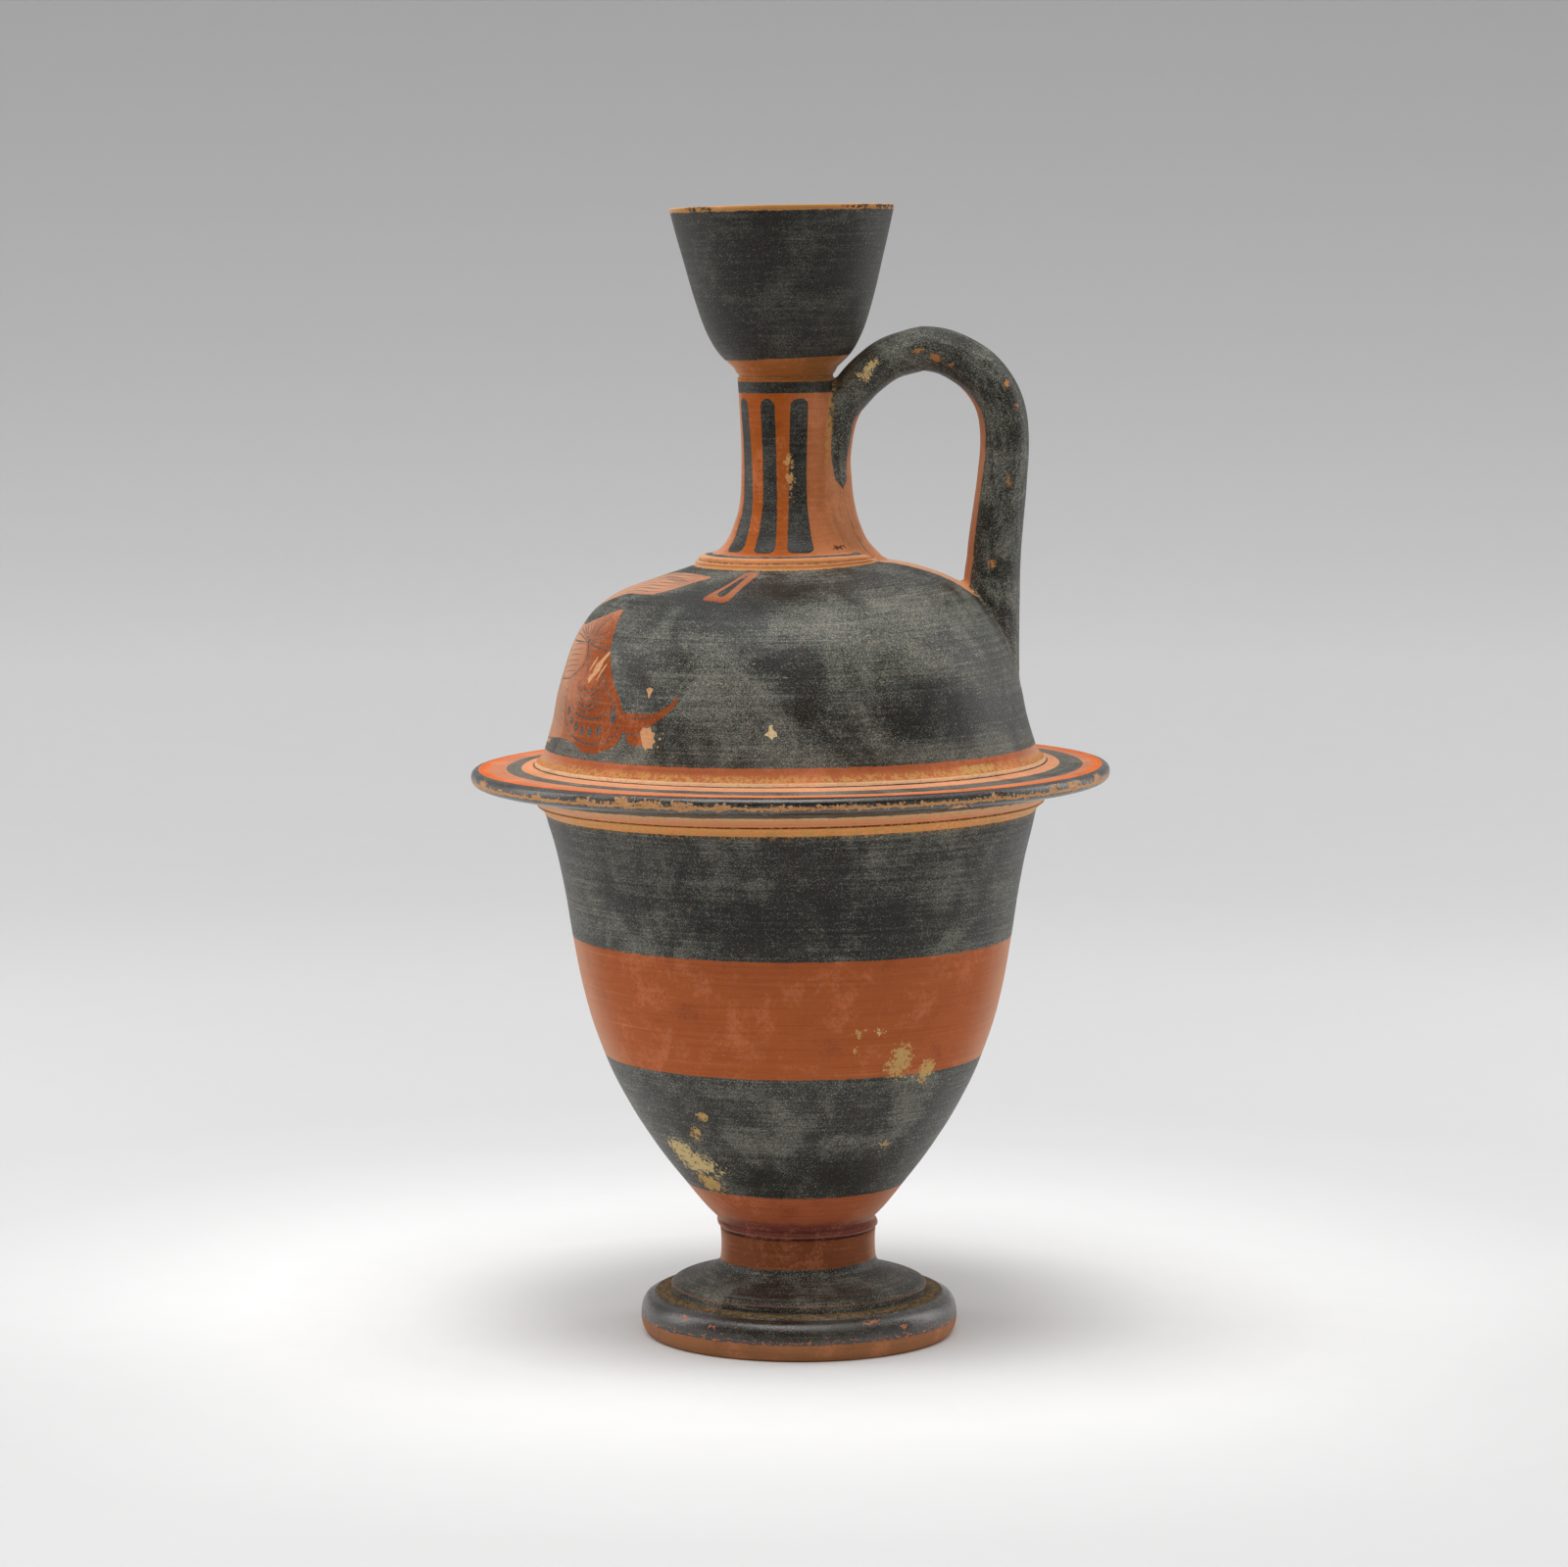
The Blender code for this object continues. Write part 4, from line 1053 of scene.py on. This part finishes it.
# Spots on the pot by kind: heading, strip, millimetres past its start, length round the pot, height
SPOTS = {
    "cream": (
        (37.5, "bowl", 29.4, 8.4, 7.4), (44, "bowl", 25.2, 12.6, 7.6), (114, "bowl", 71.5, 1.4, 1.6),
        (246, "bowl", 104, 5, 3.6),
    ),
    "ochre": (
        (44.4, "bowl", 17.4, 7.6, 6.6), (52.5, "bowl", 37.5, 2.6, 4), (58, "bowl", 43.8, 2.6, 2.4),
        (122, "bowl", 62, 6.4, 9), (132.5, "bowl", 58, 5.4, 6), (108, "bowl", 71.5, 1.6, 1.6),
        (107, "bowl", 66.5, 1.4, 1.4), (125, "bowl", 34, 2.6, 2.4), (160, "neck", 3, 3, 2.4),
        (136, "fillet", 1.2, 16, 2.6), (210, "bowl", 60, 9, 7), (292, "bowl", 30, 8, 6),
    ),
    "tan": (
        (93, "neck", 30.5, 1.8, 3.4), (93.5, "neck", 25.4, 2.4, 3.4), (95.5, "neck", 20.5, 1, 1.4),
        (236, "dome", 22, 4, 3), (268, "dome", 40, 5, 2.6),
    ),
    "dark": (
        (35, "rim", 0.5, 2.4, 1.2), (44, "rim", 0.5, 8, 1.3), (134, "rim", 0.4, 9, 1.2), (150, "rim", 0.4, 7, 1.4),
        (163, "rim", 0.4, 9, 1.5), (141, "neck", 5, 4.6, 1.4),
    ),
}
PALE_SPECKS = (222, 178, 110)
# The tone of each kind, and the tone of its specks
SPOT_TONES = {
    "cream": ((214, 198, 146), PALE_SPECKS), "ochre": ((188, 152, 92), PALE_SPECKS),
    "tan": ((200, 142, 88), PALE_SPECKS), "dark": ((30, 27, 22), (30, 27, 22)),
}

# Bare clay on the handle: height, whether on the neck's side, angle from outside, length, width
# round it. The first three are one cream chip.
HANDLE_CHIPS = (
    (274.2, True, -79, 4.2, 2.2), (272.6, True, -90, 1.8, 3.2), (271.4, True, -80, 1.4, 2.6),
    (279.6, True, -92, 3.8, 0.9), (279.7, False, -110, 3.8, 2), (278.2, False, -113, 1.3, 1.2),
    (268.2, False, -57, 2, 1.8), (263.1, False, -55, 1.2, 1.1), (243.8, False, -79, 3.8, 0.7),
    (219.8, False, -95, 2.8, 1.5), (232, False, 70, 4, 3), (262, True, 96, 3, 2),
)
# Millimetres on the handle's chart to a degree round it
HANDLE_CHART_STRETCH = 0.12

# Half the width of the bare strip of shoulder under the handle, and half the angle of the bare strip
# inside its loop
RESERVE_HALF = 8.6
STRIP_HALF = 40
# Heights between which soil starts to be held at the handle's upper join
SEAM_SOIL = (244, 253)
SLIP_SPECULAR = 0.3
# The radius of the pot at which its flat chart is true to size
CHART_RADIUS = 60
DEGREES = 180 / math.pi


def flat_chart(n):
    """The chart of the whole surface in millimetres: round the pot, along its profile."""
    return n.join(turn_of(n, n.split(n.attribute("turned", "Vector"))) * CHART_RADIUS, n.attribute("along"), 0)


def turn_of(n, true):
    return n.math("ARCTAN2", true[1] * -1, true[0] * -1)


def on_chart(heading, strip, past, length, height, share=1):
    """The middle of a spot on the flat chart, and its width and height there."""
    turn = math.radians((heading + 180) % 360 - 180)
    radius = float(profile.place(ALONG[strip] + past)[0])
    return (turn * CHART_RADIUS, ALONG[strip] + past), (length * CHART_RADIUS / radius * share, height * share)


def fields(n, place, streak_place):
    """The noises that all the surfaces share: broad clouds, small grain, fine grain, wheel streaks."""
    settings = (place, 0.065, 5, 0.66, 0.5), (place, 0.95, 3, 0.72), (place, 2.6, 3, 0.85), (streak_place, 1, 3, 0.65)
    return [n.noise(*given) for given in settings]


def shaken(n, chart_place, place, scale, reach):
    """The chart with its places moved about by a noise, so that spots on it are ragged."""
    across = n.noise(n.vector("ADD", place, (31, 17, 5)), scale, 4, 0.75)
    up = n.noise(place, scale, 4, 0.78)
    moved = n.join(across - 0.5, up - 0.5, 0)
    return n.vector("ADD", chart_place, n.vector("MULTIPLY", moved, (reach, reach * 0.75, 0))), up


def slip_look(n, coat, noises, painted_light, calm, colour):
    """Black slip showing wear: crazed with fine pale specks, streaked along the wheel and scratched, most of
    all under the painted sheen patches and least under the painted shade patches or where it is calm;
    the painted sheen makes it greyer and the painted shade darker. Gives the colour and the height of its relief."""
    cloudy, grain, fine, streaks = noises
    wear_and_sheen = (streaks - 0.5) * 0.5 + (painted_light * 0.12 + cloudy)
    marked = coat * (1 - calm)
    # Pale bluish grey where the slip shows most wear, and as painted sheen under the sheen patches; darker where it
    # shows least, and as painted shade under the shade patches
    colour = n.layers(colour, (
        (marked, wear_and_sheen, 0.46, 0.68, 0.36, (92, 98, 96)), (coat, wear_and_sheen, 0.5, 0.36, 0.6, (22, 22, 19)),
        (coat, cloudy, 0.47, 0.3, 0.24, (62, 46, 30)), (coat, grain, 0.52, 0.36, 0.66, (15, 15, 14)),
    ))
    lines = []
    for turn, stretch, fineness in ((0.5, 0.05, 0.9), (-0.9, 0.06, 0.8)):
        given = {"Location": (turn * 31, 7, 3), "Rotation": (0, 0, turn), "Scale": (stretch, fineness, 1)}
        turned_chart = n.add("ShaderNodeMapping", {"Vector": flat_chart(n), **given})
        lines.append(abs(n.noise(turned_chart, 1, 1, 0.5) - 0.5))
    scratch = marked * n.step(n.least(*lines), 0, 0.011, 1, 0)
    colour = n.layers(colour, (
        (scratch, wear_and_sheen, 0.45, 0.6, 0.36, (158, 152, 138)),
        (marked, wear_and_sheen * 0.34 + fine, 0.66, 0.76, 0.52, (138, 138, 126)),
        (marked, wear_and_sheen * 0.24 + fine, 0.72, 0.76, 0.55, (190, 178, 148)),
    ))
    return colour, fine * 0.8 + (grain * 1.1 + streaks * 0.5)


def clay_look(n, bare, noises, edge_on_sheen, colour):
    """Reserved clay: warm and uneven, with darker stains, pale scuffed patches and streaks along the
    wheel, and a painted sheen that makes it paler where it is seen edge on."""
    cloudy, grain, fine, streaks = noises
    colour = n.layers(colour, (
        (bare, cloudy, 0.5, 0.7, 0.6, (1.32, 1.24, 1.12, 1)), (bare, cloudy, 0.46, 0.3, 0.55, (0.66, 0.54, 0.44, 1)),
        (bare, grain * 0.8 + cloudy * 1.2, 1.02, 1.2, 0.3, (214, 142, 110)),
        (bare, streaks, 0.52, 0.36, 0.3, (0.68, 0.56, 0.5, 1)), (bare, streaks, 0.56, 0.74, 0.16, (222, 168, 110)),
        (bare, grain, 0.56, 0.7, 0.5, (0.55, 0.45, 0.4, 1)), (bare, fine, 0.44, 0.3, 0.5, (1.5, 1.6, 1.7, 1)),
    ))
    # Painted sheen: the bare clay is made paler where it is seen edge on
    facing = n.add("ShaderNodeLayerWeight", output="Facing")
    return n.layers(colour, ((bare * edge_on_sheen, facing, 0.48, 0.94, 0.5, (226, 186, 158)),))


def deposits(n, place, along, noises, colour):
    """Tan clay where chips bare it, and ochre soil in grooves, at joins and in named spots."""
    _, grain, fine, _ = noises
    chart_place = flat_chart(n)
    ragged, rough = shaken(n, chart_place, place, 0.6, 9)
    chipped = n.spots(ragged, [on_chart(*chip[:5], 1.15) for chip in CHIPS], 0.1)
    at_edge = n.step(abs(along - (ALONG["lip"] + 4.3)), 2.4, 0.2, 0, 0.17)
    edge_chip = n.step(grain * 0.5 + (rough * 0.5 + at_edge), 0.685, 0.7)
    at_foot = n.step(abs(along - (ALONG["torus"] + 5.9)), 2.6, 0, 0, 0.13)
    foot_chip = n.step(n.noise(n.vector("MULTIPLY", chart_place, (0.35, 1.3, 1)), 1, 3, 0.7) + at_foot, 0.68, 0.71)
    soil = n.most(edge_chip, foot_chip, chipped)
    low = n.step(along, ALONG["bowl"], ALONG["torus"])
    colour = n.mix(soil, colour, n.mix(low, n.mix(grain, (164, 98, 46), (226, 172, 112)), (184, 96, 40)))
    uneven = grain * 0.7 + rough
    patchy = n.step(uneven, 0.74, 0.76)
    bitten = uneven * -4.4 + 3.75
    for kind, tones in SPOT_TONES.items():
        share = n.spots(ragged, [on_chart(*spot) for spot in SPOTS[kind]], 0.08, bitten) * patchy
        soil = n.most(soil, share)
        colour = n.mix(share * 0.9, colour, n.mix(n.step(fine, 0.4, 0.66), *tones))
    groove = n.step(n.attribute("seam"), 1.7, 0.2) * n.step(n.split(place)[2], *SEAM_SOIL, 0.12, 1)
    for strip, past, wide in SOIL:
        groove = n.most(groove, n.step(abs(along - (ALONG[strip] + past)), wide, wide * 0.2))
    speckled = fine * 0.35 + (rough * 0.8 + grain * 0.85)
    held = groove * n.step(groove * 0.08 + speckled, 1.06, 1.1)
    colour = n.mix(held * 0.8, colour, n.mix(low, (196, 150, 80), (124, 98, 58)))
    return n.most(soil, held), colour


def finish(n, colour, coat, crust, height, slip_rough, specular):
    """Sheen of the slip, dullness of clay and crust, and the fine relief."""
    dull = n.most(1 - coat, crust)
    rough = n.least(dull * 0.36 + slip_rough, 0.95)
    bump = n.add("ShaderNodeBump", {"Strength": 0.55, "Distance": 0.00012, "Height": height})
    return n.shaded(Base_Color=colour, Roughness=rough, Specular_IOR_Level=specular, Normal=bump)


def painted_tongues(n, turn, along, wave, colour, coat):
    """Black tongues with rounded ends between the two rings of the neck."""
    x, y, _ = n.split(n.attribute("turned", "Vector"))
    reach = n.vector("LENGTH", n.join(x, y, 0))
    degrees = wave * 0.9 + turn * DEGREES
    low, high = (ALONG["neck"] + past for past in TONGUE_ENDS)
    rise = (along - low) * (1 / (high - low))
    up = abs((wave * 0.35 + along) - (low + high) / 2) - ((high - low) / 2 - TONGUE_CORNER)
    inside = 0
    for foot, top, half in TONGUES:
        off = abs(degrees - (rise * (top - foot) + foot))
        wide = n.step(rise, 0.42, 0.1, half, half * 1.06)
        across = (off - wide) * (reach * (1 / DEGREES)) + TONGUE_CORNER
        corner = n.vector("LENGTH", n.join(n.most(across, 0), n.most(up, 0), 0))
        edge = corner + n.least(n.most(across, up), 0)
        inside = n.most(inside, n.step(edge, TONGUE_CORNER + 0.12, TONGUE_CORNER - 0.12))
    return n.mix(inside, colour, TONES["mouth"]), blend(inside, coat, 1)


def pot_material():
    n = Nodes("black_slip_on_clay")
    place, along = n.attribute("turned", "Vector"), n.attribute("along")
    true = n.split(place)
    turn = turn_of(n, true)
    wave = ((n.noise(place, 0.32, 3, 0.6) - 0.5) + (n.noise(place, 1.4, 2, 0.6) - 0.5) * 0.35) * 2.4
    colour, coat = TONES["clay"], 0
    for strip, past, tone, slip, wavy, soft, *slope in ZONES:
        start = ALONG[strip] + past
        edge = wave * wavy + along
        if slope:
            edge = true[0] * slope[0] + edge
        share = n.step(edge, start - soft / 2, start + soft / 2)
        colour = n.mix(share, colour, TONES[tone])
        coat = blend(share, coat, slip)

    reserve = n.step(wave * 1.2 + abs(true[1]), RESERVE_HALF + 0.3, RESERVE_HALF - 0.3)
    reserve = reserve * n.step(true[0], 20, 24) * n.step(true[0], 62, 58)
    reserve = reserve * n.step(along, ALONG["dome"] + 20, ALONG["dome"] + 24)
    reserve = reserve * n.step(along, ALONG["lower_fillet"] + 0.4, ALONG["lower_fillet"] - 0.4)
    colour = n.mix(reserve, colour, TONES["fillets"])
    coat = coat * (1 - reserve)
    right = n.step(true[0], -3, 11) * (1 - coat)
    under = n.step(along, ALONG["neck_groove"] - 4, ALONG["neck_groove"])
    paler = right * n.step(along, ALONG["neck"], ALONG["neck"] + 1) * (1 - under)
    colour = n.mix(paler * 0.55, colour, (200, 134, 92))
    olive = right * under * n.step(along, ALONG["mouth"] + 9, ALONG["mouth"] + 5)
    colour = n.mix(olive * 0.55, colour, (122, 88, 44))
    colour, coat = painted_tongues(n, turn, along, wave, colour, coat)
    paint = n.attribute("paint")
    for kind, (tone, slip) in PAINTS.items():
        here = n.math("COMPARE", paint, kind, 0.25)
        colour = n.mix(here, colour, TONES[tone])
        coat = blend(here, coat, slip)

    noises = fields(n, place, n.vector("MULTIPLY", flat_chart(n), (0.02, 1.1, 1)))
    bare = 1 - coat
    on_lip = n.step(along, ALONG["lip"] - 2, ALONG["lip"])
    on_lip = on_lip * n.step(along, ALONG["outer_ring"] + 0.5, ALONG["outer_ring"])
    glossy = n.most(n.step(along, ALONG["ledge"], ALONG["ledge"] - 0.6), on_lip)
    # Patches of painted sheen and of painted shade on the black slip
    painted_light, painted_shade = (n.spots(flat_chart(n), [on_chart(*spot) for spot in some], 0.45) for some in (SHEEN_PATCHES, SHADE_PATCHES))
    calm = n.most(glossy * 0.7, n.step(along, ALONG["lower_fillet"], ALONG["neck"] + 4, 0, 0.62))
    colour, height = slip_look(n, coat, noises, painted_light - painted_shade, calm, colour)
    # Bare clay from the ledge and stem to just below the lip, and from the fillet up, gets a painted sheen where it is
    # seen edge on
    body = n.step(along, ALONG["ledge"], ALONG["stem"]) * n.step(along, ALONG["lip"], ALONG["lip"] - 1)
    edge_on_sheen = n.most(body, n.step(along, ALONG["fillet"], ALONG["fillet"] + 2))
    colour = clay_look(n, bare, noises, edge_on_sheen, colour)
    crust, colour = deposits(n, place, along, noises, colour)
    slip_rough = glossy * -0.22 + n.step(noises[0], 0.3, 0.75, 0.38, 0.56)
    return finish(n, colour, coat, crust, height, slip_rough, glossy * coat * 0.6 + SLIP_SPECULAR)


def handle_material():
    n = Nodes("black_slip_on_handle")
    place = n.attribute("turned", "Vector")
    t, u, v = n.split(n.attribute("rod", "Vector"))
    wave = (n.noise(place, 0.4, 3, 0.6) - 0.5) * 2.4
    angle = n.math("ARCTAN2", v, u) * DEGREES
    wide = abs(angle)
    tip, full, leaves = (rod.at_height(z, True) for z in (241, 259, 270))
    strip_end, strip_full = (rod.at_height(z, False) for z in (279, 262))
    tongue = n.step(t, tip - 0.5, tip + 3, 0, 18) + n.step(t, tip + 2, full, 0, 15)
    on_neck = n.step(abs(wide - 115) - (wave * 2.5 + tongue), 1.5, -1.5)
    bare_half = n.most(n.step(t, strip_end, strip_full, 0, STRIP_HALF), n.step(t, full, leaves, 42, 0))
    on_loop = n.step(wide - (180 - (wave * 3 + bare_half)), 1.5, -1.5)
    coat = blend(n.step(t, full - 3, full + 3), on_neck, on_loop)
    colour = n.mix(coat, (186, 122, 82), (40, 40, 34))
    worn_edge = n.step(abs(t - leaves), 13, 3) * n.step(abs(angle + 25), 60, 20)
    worn_edge = worn_edge * n.step(n.noise(place, 0.5, 4, 0.7), 0.45, 0.6)
    noises = fields(n, place, n.join(t * 0.12, angle * 0.09, 0))
    colour, height = slip_look(n, coat, noises, 0, 0, colour)
    colour = n.mix(worn_edge * coat * 0.6, colour, (118, 92, 54))
    # The handle's bare clay gets a weaker painted sheen where it is seen edge on
    colour = clay_look(n, 1 - coat, noises, 0.4, colour)
    ragged, rough = shaken(n, n.join(t, angle * HANDLE_CHART_STRETCH, 0), place, 0.7, 8)
    places = [
        ((rod.at_height(z, rising), turn * HANDLE_CHART_STRETCH), size) for z, rising, turn, *size in HANDLE_CHIPS
    ]
    cream, chip = (n.spots(ragged, some, 0.1) for some in (places[:3], places[3:]))
    colour = n.mix(chip, colour, (186, 122, 66))
    colour = n.mix(cream, colour, n.mix(n.step(noises[2], 0.4, 0.62), (190, 146, 80), (226, 208, 158)))
    colour = n.mix(coat * n.step(rough, 0.7, 0.73), colour, (166, 120, 72))
    seam = n.step(n.attribute("seam"), 2.2, 0.2) * n.step(noises[1] * 0.5 + rough * 0.5, 0.5, 0.54)
    seam = seam * n.step(n.split(place)[2], *SEAM_SOIL, 0.2, 1)
    colour = n.mix(seam * 0.8, colour, (196, 154, 84))
    slip_rough = n.step(noises[0], 0.3, 0.75, 0.36, 0.54)
    return finish(n, colour, coat, n.most(chip, cream, seam), height, slip_rough, SLIP_SPECULAR)


# The room: a round floor that bends up into a wall, with painted light and shade on its paper,
# paler low down and greyer high up, and painted shade on the side that the camera stands on
ROOM_FLOOR_RADIUS = 1
ROOM_BEND = 0.9
ROOM_TOP = 1.5
ROOM_STEPS = 96
CAMERA_SIDE_SHADE = (70, 70, 70)
# How far out and up, in metres, and how pale the paper is painted there: painted light in a ring
# round the foot against its shadow, painted shade beyond it, and painted shade growing greyer up the wall
PAPER_PAINTED_LIGHT = (
    (0, 222), (0.062, 220), (0.09, 238), (0.11, 246), (0.16, 242), (0.22, 228), (0.28, 219), (0.36, 216),
    (0.7, 226), (1, 228), (1.42, 226), (1.57, 216), (1.83, 202), (2.05, 193), (2.24, 186), (2.4, 180),
)
PAPER_MIDDLE = 0.035


def room_material():
    n = Nodes("paper_with_painted_light")
    x, y, z = n.split(n.add("ShaderNodeNewGeometry"))
    out = n.vector("LENGTH", n.join(x, y - PAPER_MIDDLE, 0))
    reach = PAPER_PAINTED_LIGHT[-1][0]
    # The paper's tone by distance out and height up: painted light and painted shade
    ramp = n.add("ShaderNodeValToRGB", ((out + z) * (1 / reach),))
    stops = ramp.socket.node.color_ramp.elements
    for stop, (_, grey) in zip(stops, (PAPER_PAINTED_LIGHT[0], PAPER_PAINTED_LIGHT[-1])):
        stop.color = linear((grey,) * 3)
    for at, grey in PAPER_PAINTED_LIGHT[1:-1]:
        stops.new(at / reach).color = linear((grey,) * 3)
    mottled = n.noise(n.join(x, y, z), 60, 3, 0.6)
    colour = n.mix(n.step(mottled, 0.3, 0.7, 0, 0.03), ramp, (200, 200, 200))
    # Painted shade: the room is dark grey on the side that the camera stands on
    colour = n.mix(n.step(y, -0.75, -1.25), colour, CAMERA_SIDE_SHADE)
    return n.shaded(Base_Color=colour, Roughness=0.85, Specular_IOR_Level=0.1)


def make_room():
    line = [(0, 0)] + [(ROOM_FLOOR_RADIUS * k / 4, 0) for k in range(1, 5)]
    for i in range(1, 17):
        a = math.pi / 2 * i / 16
        line.append((ROOM_FLOOR_RADIUS + ROOM_BEND * math.sin(a), ROOM_BEND - ROOM_BEND * math.cos(a)))
    line.append((ROOM_FLOOR_RADIUS + ROOM_BEND, ROOM_TOP))
    points, faces = [], []
    for k, (out, z) in enumerate(line):
        for i in range(ROOM_STEPS):
            a = 2 * math.pi * i / ROOM_STEPS
            points.append((out * math.cos(a) / MM, out * math.sin(a) / MM, z / MM))
            if k:
                j = (i + 1) % ROOM_STEPS
                low, high = (k - 1) * ROOM_STEPS, k * ROOM_STEPS
                faces.append((high + i, high + j, low + j, low + i))
    room = new_object("room", points, faces)
    shape = bmesh.new()
    shape.from_mesh(room.data)
    bmesh.ops.remove_doubles(shape, verts=shape.verts, dist=1e-5)
    shape.to_mesh(room.data)
    shape.free()
    room.data.materials.append(room_material())
    room.data.shade_smooth()
    return room


def area_light(name, place, aim, size, power):
    data = bpy.data.lights.new(name, "AREA")
    data.shape = "RECTANGLE"
    data.size, data.size_y = size
    data.energy = power
    light = bpy.data.objects.new(name, data)
    light.location = place
    light.rotation_euler = (Vector(aim) - Vector(place)).to_track_quat("-Z", "Y").to_euler()
    bpy.context.scene.collection.objects.link(light)


def light_and_camera():
    world = bpy.data.worlds.new("soft_room")
    world.use_nodes = True
    back = world.node_tree.nodes["Background"]
    back.inputs["Color"].default_value = (1, 1, 1, 1)
    back.inputs["Strength"].default_value = 0.8
    bpy.context.scene.world = world
    middle = (0, 0, 0.16)
    area_light("top_box", (-0.12, -0.35, 1.25), middle, (1, 0.8), 9.2)
    area_light("left_box", (-1.15, 0.25, 0.6), middle, (0.5, 0.9), 3.7)
    area_light("right_box", (1.15, 0.45, 0.6), middle, (0.5, 0.9), 4.1)
    camera = bpy.data.objects.new("camera", bpy.data.cameras.new("camera"))
    camera.data.lens = LENS
    camera.data.sensor_width = 36
    camera.data.clip_end = 50
    camera.location = EYE
    camera.rotation_euler = (math.radians(90 - EYE_PITCH), 0, 0)
    bpy.context.scene.collection.objects.link(camera)
    bpy.context.scene.camera = camera
    bpy.context.scene.view_settings.view_transform = "Standard"


pot = make_lekythos([pot_material(), handle_material()])
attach(pot, "root")
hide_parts("lekythos")
room = make_room()
light_and_camera()
bpy.context.view_layer.update()
